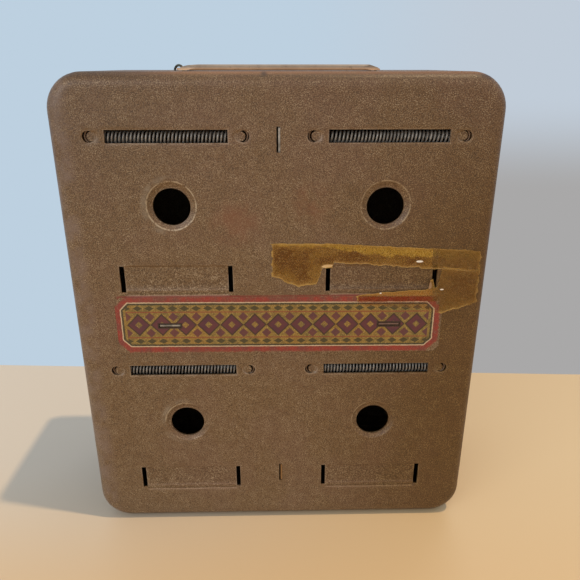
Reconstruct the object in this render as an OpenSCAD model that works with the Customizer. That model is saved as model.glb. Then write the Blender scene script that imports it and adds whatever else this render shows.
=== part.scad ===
// Pressed-steel savings bank for four sums of money: a drawn box whose face carries four alike
// units, each with a coin slot guarded by a coil spring, a dished hole for rolled notes and a
// shallow seat for a name card. Two slotted sheets divide the inside into four rooms, a hinged
// rear door with a cam lock empties them, and a folding handle lies on the top.
//
// Millimetres. +Z is up and the face looks along -Y. The origin is the middle of the flat
// underside, where the box stands on the table.

/* [Box] */
// Width of the drawn box
box_w = 116.5; // [110:0.5:140]
// Height of the drawn box
box_h = 137; // [130:0.5:160]
// Depth of the drawn box, face to rear edge
box_d = 50; // [40:0.5:80]
// Thickness of the steel sheet
sheet_t = 0.6; // [0.4:0.05:0.8]
// Radius of the box's four upright corners, seen from the front
corner_r = 9.5; // [8:0.5:14]
// Radius of the rounded edge between the face and the walls
edge_r = 3.5; // [2:0.25:5]
// Width of the lip turned inward at the rear edge
lip_w = 5; // [4:0.25:6]

/* [Face layout] */
// Distance between the left and the right units' centre lines
unit_pitch = 56.8; // [54:0.2:62]
// Distance between the upper and the lower units
row_pitch = 66.9; // [64:0.1:74]
// Coin slots' centre line, below the top
slot_drop = 15.4; // [13:0.1:18]
// Bill holes' centre below the coin slots' centre line
hole_drop = 18; // [16:0.1:20]
// Card seats' centre below the coin slots' centre line
card_drop = 38.4; // [36:0.1:40]

/* [Coin slots] */
// Length of a coin slot
slot_len = 31.1; // [28:0.1:33]
// Height of a coin slot
slot_h = 3.3; // [2.6:0.1:3.6]
// Distance between the centres of a unit's two tongues
hook_pitch = 37.6; // [37.2:0.1:38.4]
// How far a hook window's centre lies outward of its tongue's centre
window_shift = 0.75; // [0.7:0.05:0.8]
// Diameter of a hook window in the face
window_d = 3; // [2.9:0.1:3.2]
// Diameter of the round tongue, which runs into the face on the slot's side of its window
tongue_d = 2.2; // [2.1:0.1:2.3]
// How far the tongue is pressed inward
tongue_push = 0.35; // [0.2:0.05:0.5]

/* [Guard springs] */
// Outside diameter of a guard spring
spring_d = 3.8; // [3.2:0.1:4.2]
// Diameter of the spring wire
wire_d = 0.55; // [0.4:0.05:0.6]
// Length of the coiled stretch of a guard spring
coil_len = 33.5; // [31:0.1:33.8]
// Number of curls along the coiled stretch
curls = 20; // [12:1:22]
// Inside radius of the end loop that goes round the tongue
loop_r = 1.225; // [1.2:0.025:1.3]

/* [Bill holes and card seats] */
// Diameter of a bill hole
hole_d = 10; // [8:0.1:11]
// Diameter of the dish pressed round a bill hole
dish_d = 13.5; // [12.5:0.1:15]
// Depth of the dish at the hole's edge
dish_depth = 0.9; // [0.5:0.05:1.2]
// Distance between the two slits of a card seat
slit_pitch = 29.8; // [26:0.1:32]
// Length of a card slit
slit_len = 7.8; // [6:0.1:9]
// Width of a card slit
slit_w = 1.3; // [0.8:0.05:1.4]
// How far a card seat is pressed in
seat_depth = 0.4; // [0.2:0.05:0.6]
// How far a card seat reaches below its slits
seat_foot = 1.3; // [0.6:0.1:1.8]

/* [Name plate label] */
// Width of the printed label
label_w = 92.6; // [80:0.2:100]
// Height of the printed label
label_h = 17.4; // [14:0.2:17.6]
// Thickness of the printed label
label_t = 0.15; // [0.1:0.05:0.3]
// Cut across the label's corners
label_cut = 1.6; // [0.5:0.1:3]

/* [Dividers] */
// Thickness of a divider sheet
divider_t = 0.5; // [0.4:0.05:0.8]
// Height of the crossing point below the top of the box
cross_drop = 67.8; // [66:0.1:78]
// Distance between the two tabs of the upright divider
upright_tab_pitch = 103.2; // [96:0.2:110]
// Distance between the two tabs of the level divider
level_tab_pitch = 62.5; // [56:0.1:70]
// Length of a tab
tab_len = 5.8; // [4:0.1:7]
// Width of a tab slot in the face
tab_slot_w = 1; // [1:0.05:1.3]
// Gap left at each end of a tab in its slot
tab_end_gap = 0.2; // [0.1:0.05:0.4]

/* [Rear door] */
// Thickness of the door sheet
door_t = 0.8; // [0.6:0.1:1.2]
// Distance from the box's outline to the door's outline
door_inset = 2.5; // [2:0.1:3]
// Gap between the rear lip and the closed door
door_gap = 0.3; // [0.25:0.05:0.5]
// Width of the door's raised middle
field_w = 66; // [40:1:70]
// Distance from the door's upper and lower edges to its raised middle
field_margin = 14; // [8:0.5:30]
// How far the middle is raised
field_rise = 0.4; // [0.3:0.1:1.2]

/* [Hinges] */
// Height of a hinge
hinge_h = 17; // [14:0.5:22]
// Distance between the two hinges
hinge_pitch = 78; // [60:1:90]
// Length of a hinge leaf from the pin's centre
leaf_len = 15; // [13:0.5:17]
// Thickness of a hinge leaf
leaf_t = 0.8; // [0.6:0.1:1]
// Diameter of the hinge pin
pin_d = 1.5; // [1.2:0.1:1.8]
// Outside diameter of the knuckles
knuckle_d = 3.2; // [3:0.1:3.6]
// Diameter of a rivet's shank
rivet_d = 1.6; // [1.2:0.1:2]

/* [Lock] */
// Distance from the box's side to the lock's centre
lock_inset = 12.75; // [12.25:0.05:13.25]
// Diameter of the lock's barrel
barrel_d = 8; // [7:0.1:8.4]
// Length of the barrel inside the door
barrel_len = 7.5; // [6:0.1:9]
// Diameter of the barrel's round flange
flange_d = 12.6; // [11:0.1:14]
// Diameter of the turning plug
plug_d = 5.2; // [4:0.1:5.6]
// Width of the locking cam
cam_w = 6; // [4:0.1:7]
// Reach of the locking cam from the plug's centre
cam_reach = 11; // [10.5:0.1:11.4]
// Distance across the flats of the lock's nut
nut_flats = 10.6; // [10:0.1:11]

/* [Carry handle] */
// Length of the handle across its legs
handle_w = 50.8; // [46:0.2:51]
// How much wider the strap is at the grip than at the pivots, on each side
handle_flare = 1.3; // [0:0.1:1.4]
// How far the handle has slid to the right in its loops
handle_shift = 0.35; // [0:0.05:0.4]
// Reach of the handle from its pivot to the grip's outer edge
handle_reach = 17; // [14:0.2:19]
// Width of the grip strap
grip_w = 5.4; // [4:0.1:7]
// Thickness of the grip strap
grip_t = 1.4; // [1:0.1:1.8]
// Width of a handle leg
leg_w = 2; // [1.6:0.1:3]
// Diameter of the handle's pivot ends
pivot_d = 0.6; // [0.4:0.05:0.6]
// Distance between the two wire loops that hold the pivots
loop_pitch = 55.8; // [55.6:0.1:58]
// Diameter of the loop wire
loop_wire_d = 0.65; // [0.5:0.05:0.65]
// Radius of a wire loop, at the middle of its wire
loop_bend_r = 1.6; // [1.6:0.05:1.9]
// How far the left loop is turned about its upright axis
loop_turn_left = 58; // [0:1:60]
// How far the right loop is turned about its upright axis
loop_turn_right = 15; // [0:1:20]
// How far the right loop leans inward over its pivot
loop_lean_right = 60; // [0:1:60]

/* [Hidden] */

$fn = 48;
// A small overlap for cuts that run past a face
past = 1;
// Clearance of a turning or sliding fit, on the radius
run_gap = 0.05;
// Clearance between pieces that only lie beside each other
side_gap = 0.1;

// Planes of the box
face_y = -box_d / 2;
rear_y = box_d / 2;
shell_in_x = box_w / 2 - sheet_t;

// Places on the face
slot_z = box_h - slot_drop;
row_z = [slot_z, slot_z - row_pitch];
column_x = [-unit_pitch / 2, unit_pitch / 2];
cross_z = box_h - cross_drop;

// Guard spring: its coil touches neither the sheet nor the pressed tongue's face
coil_r = (spring_d - wire_d) / 2;
hook_depth = sheet_t + side_gap + wire_d / 2;
coil_depth = hook_depth + coil_r;
bend_r = loop_r + wire_d / 2;
curl_rings = 8;
wire_sides = 6;

// Card seat's outline, from slit to slit
seat_w = slit_pitch - slit_w;
seat_top = slit_len / 2;
seat_bottom = -slit_len / 2 - seat_foot;

// Tabs and the slots that they pass through
tab_slot_len = tab_len + 2 * tab_end_gap;
upright_x = tab_slot_w / 2 - run_gap - divider_t / 2;
tab_z = [cross_z + upright_tab_pitch / 2, cross_z - upright_tab_pitch / 2];
tab_x = [-level_tab_pitch / 2, level_tab_pitch / 2];
tab_reach = sheet_t + side_gap - run_gap;

// Dividers: they stop short of the walls, the rear lip and each other
divider_front = face_y + sheet_t + side_gap;
divider_rear = rear_y - sheet_t - 2 * side_gap;
divider_corner = edge_r - sheet_t;
half_lap_y = (divider_front + divider_rear) / 2;
lap_w = divider_t + 0.3;

// Rear door
door_y = rear_y + door_gap;
door_w = box_w - 2 * door_inset;
door_h = box_h - 2 * door_inset;
door_corner = corner_r - door_inset;
door_back = door_y + door_t;

// Hinges: the knuckle lies in the corner of the side wall's plane and the door's outer plane
knuckle_r = knuckle_d / 2;
pin_x = box_w / 2 + knuckle_r;
pin_y = door_back + knuckle_r;
hinge_z = [box_h / 2 + hinge_pitch / 2, box_h / 2 - hinge_pitch / 2];
knuckle_gap = 0.2;
knuckle_h = (hinge_h - 2 * knuckle_gap) / 3;
pin_r = pin_d / 2;
pin_head_r = knuckle_r - 0.3;
pin_head_h = 0.6;
rivet_r = rivet_d / 2;
rivet_head_r = rivet_r + 0.7;
rivet_head_h = 0.7;
rivet_tail_r = rivet_r + 0.4;
rivet_tail_h = 0.6;
rivet_spread = hinge_h / 2 - rivet_head_r - 1.2;
case_rivet_y = pin_y - leaf_len + rivet_head_r + 1.2;
door_rivet_x = pin_x - leaf_len + rivet_head_r + 1.2;

// Lock: the cam is cranked so that its tip lies just in front of the rear lip
lock_x = box_w / 2 - lock_inset;
barrel_r = barrel_d / 2;
barrel_end = door_y - barrel_len;
flange_t = 1.2;
plug_r = plug_d / 2;
nut_t = 2.2;
cam_t = 0.8;
cam_gap = 0.15;
cam_y = barrel_end - cam_gap - cam_t;
cam_tip_y = rear_y - sheet_t - 0.3 - cam_t;
cam_crank = nut_flats / sqrt(3) + 0.8;
tang_w = plug_d * 0.6;
screw_r = 0.9;
screw_head_r = 2.3;
screw_head_t = 0.9;
lock_z = cross_z;
screw_head_y = cam_y - cam_gap - screw_head_t;
notch_w = shell_in_x - lock_x + cam_reach + 1.2;
notch_y = screw_head_y - 0.6;

// Carry handle: its pivots lie low under the wire loops' arches
pivot_r = pivot_d / 2;
pivot_lift = 0.42;
pivot_past = 0.6;
eye_r = pivot_lift - 0.1;
handle_lift = 0.2;
leg_bend = 5;
leg_ramp = 4.5;
strap_edge_r = 0.6;

// Wire loops: the left one stands upright and a little sunk, the right one leans over its pivot
loop_x = loop_pitch / 2;
loop_wire_r = loop_wire_d / 2;
loop_sink = 0.2;
elbow_lift = 0.3;
foot_len = 2.6;
foot_bend = 0.4;

steel_brown = [0.45, 0.34, 0.25];
bare_steel = [0.55, 0.56, 0.56];
label_gold = [0.79, 0.6, 0.2];
dull_zinc = [0.42, 0.45, 0.43];

// Points along an arc from angle a to angle b, in steps parts
function arc(cx, cy, r, a, b, steps) =
    [for (i = [0:steps]) let (t = a + (b - a) * i / steps) [cx + r * cos(t), cy + r * sin(t)]];

// Cut section of the drawn sheet from a corner's centre outward: face, rounded edge, wall and lip
function sheet_section() = concat(
    [[0, 0]],
    arc(corner_r - edge_r, edge_r, edge_r, -90, 0, 8),
    [[corner_r, box_d], [corner_r - lip_w, box_d], [corner_r - lip_w, box_d - sheet_t],
     [corner_r - sheet_t, box_d - sheet_t]],
    arc(corner_r - edge_r, edge_r, edge_r - sheet_t, 0, -90, 8),
    [[0, sheet_t]]
);

// Turns a shape drawn in [x, z] and raised by its thickness so that it lies behind the plane y
module upright(y) {
    translate([0, y, 0]) rotate([90, 0, 0]) mirror([0, 0, 1]) children();
}

// A flat plate with rounded corners, centred on x and z, its front at y
module rounded_plate(w, h, r, y, t) {
    upright(y) linear_extrude(t) {
        square([w - 2 * r, h], center = true);
        square([w, h - 2 * r], center = true);
        for (x = [-1, 1], z = [-1, 1]) translate([x * (w / 2 - r), z * (h / 2 - r)]) circle(r);
    }
}

// One straight wall of the box, with its share of the rounded edge and the lip
module wall_run(length) {
    rotate([90, 0, 0]) translate([0, 0, -length / 2]) linear_extrude(length) polygon(sheet_section());
}

// The drawn box: a flat face, four walls and four turned corners, in the face's own directions
module drawn_box() {
    core_w = box_w - 2 * corner_r;
    core_h = box_h - 2 * corner_r;
    translate([0, face_y, box_h / 2]) rotate([-90, 0, 0]) {
        translate([-core_w / 2, -core_h / 2, 0]) cube([core_w, core_h, sheet_t]);
        for (s = [0, 180]) {
            rotate([0, 0, s]) translate([core_w / 2, 0, 0]) wall_run(core_h);
            rotate([0, 0, s + 90]) translate([core_h / 2, 0, 0]) wall_run(core_w);
        }
        for (sx = [0, 1], sy = [0, 1]) mirror([sx, 0, 0]) mirror([0, sy, 0])
            translate([core_w / 2, core_h / 2, 0]) rotate_extrude(angle = 90) polygon(sheet_section());
    }
}

// Puts a shape drawn round the face's point [x, z], with its depth along +Z, onto the face
module on_face(x, z) {
    translate([x, face_y, z]) rotate([-90, 0, 0]) children();
}

// Repeats a shape at the four units
module each_unit() {
    for (x = column_x, z = row_z) translate([x, 0, z]) children();
}

// The dish as a body of revolution: deep at the hole and flat there, steep at its rim
module dish_body(rim_r, depth, lift) {
    floor_r = hole_d / 2;
    rotate_extrude() polygon(concat(
        [[0, -lift], [rim_r, -lift]],
        [for (i = [0:6]) let (a = 15 * i) [floor_r + (rim_r - floor_r) * cos(a), depth * sin(a)]],
        [[0, depth]]
    ));
}

// Metal that the presses push behind the face at one unit: the dish and the card seat
module unit_bosses() {
    on_face(0, -hole_drop) translate([0, 0, sheet_t / 2])
        dish_body(dish_d / 2 + sheet_t, dish_depth + sheet_t / 2, 0);
    translate([-seat_w / 2 - sheet_t, face_y + sheet_t / 2, seat_bottom - card_drop - sheet_t])
        cube([seat_w + 2 * sheet_t, seat_depth + sheet_t / 2, seat_top - seat_bottom + 2 * sheet_t]);
}

// What is cut from the face at one unit: coin slot, hook windows, dish, bill hole, seat and slits
module unit_cuts() {
    cut_d = sheet_t + dish_depth + 2 * past;
    translate([-slot_len / 2, face_y - past, -slot_h / 2]) cube([slot_len, cut_d, slot_h]);
    for (s = [-1, 1]) {
        on_face(s * (hook_pitch / 2 + window_shift), 0) translate([0, 0, -past])
            cylinder(d = window_d, h = cut_d);
        translate([s * slit_pitch / 2 - slit_w / 2, face_y - past, -card_drop - slit_len / 2])
            cube([slit_w, cut_d + seat_depth, slit_len]);
    }
    on_face(0, -hole_drop) {
        dish_body(dish_d / 2, dish_depth, past);
        translate([0, 0, -past]) cylinder(d = hole_d, h = cut_d + past);
    }
    translate([-seat_w / 2, face_y - past, seat_bottom - card_drop])
        cube([seat_w, past + seat_depth, seat_top - seat_bottom]);
}

// The round tongues that a spring's loops go round, pressed in but not cut free at the slot's side
module unit_tongues() {
    for (s = [-1, 1]) on_face(s * hook_pitch / 2, 0) translate([0, 0, tongue_push])
        cylinder(d = tongue_d, h = sheet_t);
}

// Slots in the face for the dividers' tabs
module tab_slots() {
    cut_d = sheet_t + 2 * past;
    for (z = tab_z) translate([-tab_slot_w / 2, face_y - past, z - tab_slot_len / 2])
        cube([tab_slot_w, cut_d, tab_slot_len]);
    for (x = tab_x) translate([x - tab_slot_len / 2, face_y - past, cross_z - tab_slot_w / 2])
        cube([tab_slot_len, cut_d, tab_slot_w]);
}

// Puts a shape at one wire loop of the handle, turned as that loop is
module at_loop(side) {
    turn = side < 0 ? loop_turn_left : -loop_turn_right;
    translate([side * loop_x, 0, box_h]) rotate([0, 0, turn]) children();
}

// Holes in the top for the wire loops' legs
module loop_holes() {
    for (side = [-1, 1]) at_loop(side) for (s = [-1, 1])
        translate([0, s * loop_bend_r, -sheet_t - past])
            cylinder(r = loop_wire_r + run_gap, h = sheet_t + 2 * past, $fn = 24);
}

// Puts a shape at each of the four rivets that hold the hinge leaves to the side wall
module each_case_rivet() {
    for (z = hinge_z, s = [-1, 1]) translate([box_w / 2, case_rivet_y, z + s * rivet_spread])
        rotate([0, 90, 0]) children();
}

// Puts a shape at each of the four rivets that hold the hinge leaves to the door
module each_door_rivet() {
    for (z = hinge_z, s = [-1, 1]) translate([door_rivet_x, door_back, z + s * rivet_spread])
        rotate([-90, 0, 0]) children();
}

// A hole for a rivet, from depth below the surface
module rivet_hole(depth) {
    translate([0, 0, -depth - past]) cylinder(r = rivet_r + run_gap, h = depth + leaf_t + 2 * past);
}

// The drawn box with everything that is pressed and cut in its face
module front_shell() {
    color(steel_brown) {
        difference() {
            union() {
                drawn_box();
                each_unit() unit_bosses();
            }
            each_unit() unit_cuts();
            tab_slots();
            loop_holes();
            each_case_rivet() rivet_hole(sheet_t);
        }
        each_unit() unit_tongues();
    }
}

// Outline of a divider in its own plane: half its width each side of the middle, front edge first,
// with rounded front corners that follow the box's rounded edge
module divider_outline(half_w) {
    front = divider_front;
    r = divider_corner;
    polygon(concat(
        arc(half_w - r, front + r, r, -90, 0, 6),
        [[half_w, divider_rear], [-half_w, divider_rear]],
        arc(-half_w + r, front + r, r, 180, 270, 6)
    ));
}

// Upright sheet: two tabs in the face, and open from the rear where the level sheet crosses it
module upright_divider() {
    half_h = box_h / 2 - sheet_t - side_gap;
    color(steel_brown)
    translate([upright_x - divider_t / 2, 0, 0])
    difference() {
        union() {
            translate([0, 0, box_h / 2]) rotate([90, 0, 90]) linear_extrude(divider_t)
                divider_outline_upright(half_h);
            for (z = tab_z) translate([0, divider_front - tab_reach, z - tab_len / 2])
                cube([divider_t, tab_reach + past, tab_len]);
        }
        translate([-past, half_lap_y, cross_z - lap_w / 2])
            cube([divider_t + 2 * past, divider_rear - half_lap_y + past, lap_w]);
    }
}

// The upright sheet's outline has its depth along x and its height along y
module divider_outline_upright(half_h) {
    rotate(90) mirror([0, 1]) divider_outline(half_h);
}

// Level sheet: two tabs in the face, open from the front at the crossing, cut away at the lock
module level_divider() {
    half_w = shell_in_x - side_gap;
    color(steel_brown)
    translate([0, 0, cross_z - divider_t / 2])
    difference() {
        union() {
            linear_extrude(divider_t) divider_outline(half_w);
            for (x = tab_x) translate([x - tab_len / 2, divider_front - tab_reach, 0])
                cube([tab_len, tab_reach + past, divider_t]);
        }
        translate([upright_x - lap_w / 2, divider_front - past, -past])
            cube([lap_w, half_lap_y - divider_front + past, divider_t + 2 * past]);
        translate([-shell_in_x, notch_y, -past])
            cube([notch_w, divider_rear - notch_y + past, divider_t + 2 * past]);
    }
}

// Printed label on the face, open over the level divider's tab slots
module name_label() {
    w = label_w / 2;
    h = label_h / 2;
    c = label_cut;
    color(label_gold)
    difference() {
        translate([0, 0, cross_z]) upright(face_y - label_t) linear_extrude(label_t) polygon([
            [-w, -h + c], [-w + c, -h], [w - c, -h], [w, -h + c],
            [w, h - c], [w - c, h], [-w + c, h], [-w, h - c]
        ]);
        tab_slots();
    }
}

// Guard spring's middle line: a loop round the left tongue, the curls, a loop round the right one
function hook_path() = let (
        tongue_x = -hook_pitch / 2,
        coil_x = -coil_len / 2
    ) concat(
        [[coil_x - bend_r / 2, hook_depth, bend_r]],
        [for (i = [0:6]) let (a = 90 + 30 * i)
            [tongue_x + bend_r * cos(a), hook_depth, bend_r * sin(a)]],
        [for (i = [0:2]) let (a = 30 * i - 90)
            [coil_x - bend_r + bend_r * cos(a), hook_depth, bend_r * sin(a)]]
    );
function curl_path() = [for (i = [0:curls * curl_rings]) let (a = 360 * i / curl_rings)
    [-coil_len / 2 + coil_len * i / (curls * curl_rings),
     coil_depth - coil_r * cos(a), coil_r * sin(a)]];
function turned(points) = [for (i = [len(points) - 1:-1:0])
    [-points[i][0], points[i][1], -points[i][2]]];
function spring_path() = concat(hook_path(), curl_path(), turned(hook_path()));

// Outward direction at each point: away from the coil's axis, or towards the face on a loop
function spring_outward() = concat(
    [for (p = hook_path()) [0, -1, 0]],
    [for (p = curl_path()) [0, p[1] - coil_depth, p[2]] / coil_r],
    [for (p = hook_path()) [0, -1, 0]]
);

function unit(v) = v / norm(v);

// One ring of points round the wire at point i of its middle line
function wire_ring(path, outward, i) = let (
        last = len(path) - 1,
        along = unit(path[min(i + 1, last)] - path[max(i - 1, 0)]),
        side = unit(cross(along, outward[i])),
        up = cross(side, along)
    ) [for (k = [0:wire_sides - 1]) let (a = 360 * k / wire_sides)
        path[i] + wire_d / 2 * (cos(a) * up + sin(a) * side)];

// A tube of triangles through the rings, closed with a fan at each end
module swept_wire(path, outward) {
    n = wire_sides;
    rings = len(path);
    points = [for (i = [0:rings - 1]) each wire_ring(path, outward, i)];
    walls = [for (i = [0:rings - 2], k = [0:n - 1]) let (
            a = i * n + k, b = i * n + (k + 1) % n
        ) each [[a, a + n, b], [b, a + n, b + n]]];
    first = [for (k = [1:n - 2]) [0, k, k + 1]];
    base = (rings - 1) * n;
    final = [for (k = [1:n - 2]) [base, base + k + 1, base + k]];
    polyhedron(points, concat(walls, first, final));
}

// Least gap of the wire to itself, between points that are not neighbours along it
function least_gap(path) = min([for (i = [0:len(path) - 5], j = [i + 4:len(path) - 1])
    norm(path[i] - path[j])]) - wire_d;

module guard_spring(column, row) {
    path = spring_path();
    echo("least gap of a guard spring to itself, mm", least_gap(path));
    color(bare_steel) translate([column_x[column], face_y, row_z[row]])
        swept_wire(path, spring_outward());
}

// The rear door: a flat plate whose middle is pressed outward
module rear_door() {
    field_h = door_h - 2 * field_margin;
    field_r = 4;
    wall = door_t;
    color(steel_brown)
    difference() {
        translate([0, 0, box_h / 2]) {
            rounded_plate(door_w, door_h, door_corner, door_y, door_t);
            rounded_plate(field_w, field_h, field_r, door_y + door_t / 2, field_rise + door_t / 2);
        }
        translate([0, 0, box_h / 2]) rounded_plate(field_w - 2 * wall, field_h - 2 * wall,
            field_r - wall, door_y - past, past + field_rise);
        translate([-lock_x, door_y - past, lock_z]) rotate([-90, 0, 0])
            cylinder(r = barrel_r + run_gap, h = door_t + 2 * past);
        each_door_rivet() rivet_hole(door_t);
    }
}

// Puts a shape drawn along the lock's axis, its depth along +Z towards the rear, at the lock
module at_lock(y) {
    translate([-lock_x, y, lock_z]) rotate([-90, 0, 0]) children();
}

module lock_barrel() {
    color(bare_steel)
    difference() {
        union() {
            at_lock(door_back) cylinder(d = flange_d, h = flange_t);
            at_lock(barrel_end) cylinder(r = barrel_r, h = door_back - barrel_end + flange_t / 2);
        }
        at_lock(barrel_end - past)
            cylinder(r = plug_r + run_gap, h = door_back + flange_t - barrel_end + 2 * past);
    }
}

module lock_nut() {
    color(bare_steel)
    at_lock(door_y - nut_t)
    difference() {
        cylinder(r = nut_flats / sqrt(3), h = nut_t, $fn = 6);
        translate([0, 0, -past]) cylinder(r = barrel_r + run_gap, h = nut_t + 2 * past);
    }
}

// The plug turns in the barrel: keyway at the rear, square tang for the cam at the front
module lock_plug() {
    plug_rear = door_back + flange_t - 0.2;
    tang_len = cam_t + 2 * cam_gap;
    color(label_gold)
    difference() {
        union() {
            at_lock(barrel_end) cylinder(r = plug_r, h = plug_rear - barrel_end);
            at_lock(barrel_end - tang_len) translate([-tang_w / 2, -tang_w / 2, 0])
                cube([tang_w, tang_w, tang_len + plug_r / 2]);
        }
        at_lock(plug_rear - 5) translate([-0.5, -1.6, 0]) cube([1, 3.2, 5 + past]);
        at_lock(barrel_end - tang_len - past) cylinder(r = screw_r + run_gap, h = 3 + past, $fn = 24);
    }
}

// The cam is cranked: flat on the tang, then rearward past the nut, then outward again, so that
// a quarter turn brings its tip in front of the rear lip. It hangs down while the door is unlocked.
module lock_cam() {
    half = cam_w / 2;
    arm_end = cam_crank + cam_t;
    color(bare_steel)
    translate([-lock_x, 0, lock_z])
    rotate([0, -90, 0])
    difference() {
        union() {
            translate([0, cam_y, 0]) rotate([-90, 0, 0]) cylinder(r = half, h = cam_t);
            translate([-arm_end, cam_y, -half]) cube([arm_end, cam_t, cam_w]);
            translate([-arm_end, cam_y, -half]) cube([cam_t, cam_tip_y + cam_t - cam_y, cam_w]);
            translate([-cam_reach, cam_tip_y, -half]) cube([cam_reach - cam_crank, cam_t, cam_w]);
        }
        translate([-tang_w / 2 - run_gap, cam_y - past, -tang_w / 2 - run_gap])
            cube([tang_w + 2 * run_gap, cam_t + 2 * past, tang_w + 2 * run_gap]);
    }
}

module cam_screw() {
    color(bare_steel)
    difference() {
        union() {
            at_lock(screw_head_y) cylinder(r = screw_head_r, h = screw_head_t);
            at_lock(screw_head_y) cylinder(r = screw_r, h = screw_head_t + 2.8, $fn = 24);
        }
        at_lock(screw_head_y - past) translate([-screw_head_r - past, -0.3, 0])
            cube([2 * screw_head_r + 2 * past, 0.6, past + 0.4]);
    }
}

// A stretch of knuckle round the hinge's axis, from z to z + h
module knuckle(z, h) {
    translate([pin_x, pin_y, z]) cylinder(r = knuckle_r, h = h);
}

// The hinge pin's bore
module pin_bore(z) {
    translate([pin_x, pin_y, z - hinge_h / 2 - past])
        cylinder(r = pin_r + run_gap, h = hinge_h + 2 * past);
}

// Leaf on the side wall, with the upper and the lower knuckle
module case_leaf(z) {
    low = z - hinge_h / 2;
    color(steel_brown)
    difference() {
        union() {
            translate([box_w / 2, pin_y - leaf_len, low])
                cube([leaf_t, leaf_len - knuckle_r - knuckle_gap, hinge_h]);
            for (k = [low, low + hinge_h - knuckle_h]) {
                translate([box_w / 2, pin_y - knuckle_r - 1, k]) cube([leaf_t, knuckle_r + 1, knuckle_h]);
                knuckle(k, knuckle_h);
            }
        }
        pin_bore(z);
        each_case_rivet() rivet_hole(sheet_t);
    }
}

// Leaf on the door, with the middle knuckle
module door_leaf(z) {
    low = z - knuckle_h / 2;
    color(steel_brown)
    difference() {
        union() {
            translate([pin_x - leaf_len, door_back, z - hinge_h / 2])
                cube([leaf_len - knuckle_r - knuckle_gap, leaf_t, hinge_h]);
            translate([pin_x - knuckle_r - 1, door_back, low]) cube([knuckle_r + 1, leaf_t, knuckle_h]);
            knuckle(low, knuckle_h);
        }
        pin_bore(z);
        each_door_rivet() rivet_hole(door_t);
    }
}

module hinge_pin(z) {
    color(bare_steel) translate([pin_x, pin_y, z]) {
        cylinder(r = pin_r, h = hinge_h + 2 * run_gap, center = true);
        for (s = [-1, 1]) translate([0, 0, s * (hinge_h / 2 + run_gap + pin_head_h / 2)])
            cylinder(r = pin_head_r, h = pin_head_h, center = true);
    }
}

// A rivet through a leaf and a sheet, its head outside and its upset tail inside
module rivet(sheet) {
    translate([0, 0, leaf_t]) cylinder(r = rivet_head_r, h = rivet_head_h);
    translate([0, 0, -sheet - rivet_tail_h / 2])
        cylinder(r = rivet_r, h = sheet + leaf_t + (rivet_head_h + rivet_tail_h) / 2);
    translate([0, 0, -sheet - rivet_tail_h]) cylinder(r = rivet_tail_r, h = rivet_tail_h);
}

// The strap seen from above, w its half-width at the pivots: flared and round at the grip
module strap_outline(w, reach, r) {
    wide = w + handle_flare;
    polygon(concat(
        [[w, 0], [w, past], [-w, past], [-w, 0]],
        arc(-wide + r, -reach + r, r, 180, 270, 8),
        arc(wide - r, -reach + r, r, 270, 360, 8)
    ));
}

// The strap seen from the front: its left end is bent down steeply, its right end gently
module strap_front(w, top) {
    low = handle_lift;
    polygon([
        [-w, low], [w, low], [w, low + 0.2], [w - 1.2, low + 0.5 * grip_t], [w - 3.6, top],
        [-w + 6, top], [-w + 3.4, top - 0.12 * grip_t], [-w + 1.8, low + 0.65 * grip_t],
        [-w, low + 0.2]
    ]);
}

// The strap seen from the side, y first: a rolled front edge, and legs that thin to the pivot
module strap_side(top) {
    r = strap_edge_r;
    front = -handle_reach + r;
    polygon(concat(
        [[0, handle_lift]],
        arc(front, handle_lift + r, r, 270, 180, 6),
        arc(front, top - r, r, 180, 90, 6),
        [[-leg_ramp, top], [0, pivot_lift + eye_r - 0.02]]
    ));
}

// The handle folds forward: a strap with two legs that end in an eye with a round pivot
module carry_handle() {
    w = handle_w / 2;
    wide = w + handle_flare;
    top = handle_lift + grip_t;
    color(steel_brown) translate([handle_shift, 0, box_h]) {
        intersection() {
            linear_extrude(top + past) difference() {
                strap_outline(w, handle_reach, leg_bend);
                strap_outline(w - leg_w, handle_reach - grip_w, leg_bend - leg_w);
            }
            translate([0, past, 0]) rotate([90, 0, 0]) linear_extrude(handle_reach + 2 * past)
                strap_front(wide, top);
            translate([-wide - past, 0, 0]) rotate([90, 0, 90]) linear_extrude(2 * (wide + past))
                strap_side(top);
        }
        for (s = [-1, 1]) translate([s * (w - leg_w / 2), 0, pivot_lift]) rotate([0, s * 90, 0]) {
            cylinder(r = eye_r, h = leg_w, center = true);
            cylinder(r = pivot_r, h = loop_cross_x(s) + pivot_past - s * handle_shift - w + leg_w / 2);
        }
    }
}

// Where a loop's arch crosses over its pivot, as a distance from the middle
function loop_lean(side) = side < 0 ? 0 : loop_lean_right;
function loop_rise(side) = side < 0 ? -loop_sink : elbow_lift;
function loop_cross_x(side) = loop_x - loop_bend_r * sin(loop_lean(side));

// A wire loop: an arch over the pivot, legs through the top and feet bent apart inside
module handle_loop(side) {
    foot_z = -sheet_t - side_gap - loop_wire_r;
    bend_z = foot_z + foot_bend;
    rise = loop_rise(side);
    color(dull_zinc) at_loop(side) {
        translate([0, 0, rise]) rotate([0, -side * loop_lean(side), 0])
            rotate([90, 0, 90]) rotate_extrude(angle = 180) translate([loop_bend_r, 0])
                circle(loop_wire_r, $fn = 24);
        for (s = [0, 180]) rotate([0, 0, s]) translate([0, loop_bend_r, 0]) {
            translate([0, 0, rise]) sphere(loop_wire_r, $fn = 24);
            translate([0, 0, bend_z]) cylinder(r = loop_wire_r, h = rise - bend_z, $fn = 24);
            translate([0, foot_bend, bend_z]) rotate([90, 0, 90]) rotate([0, 0, 180])
                rotate_extrude(angle = 90) translate([foot_bend, 0]) circle(loop_wire_r, $fn = 24);
            translate([0, foot_bend, foot_z]) rotate([-90, 0, 0])
                cylinder(r = loop_wire_r, h = foot_len - foot_bend, $fn = 24);
        }
    }
}

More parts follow.
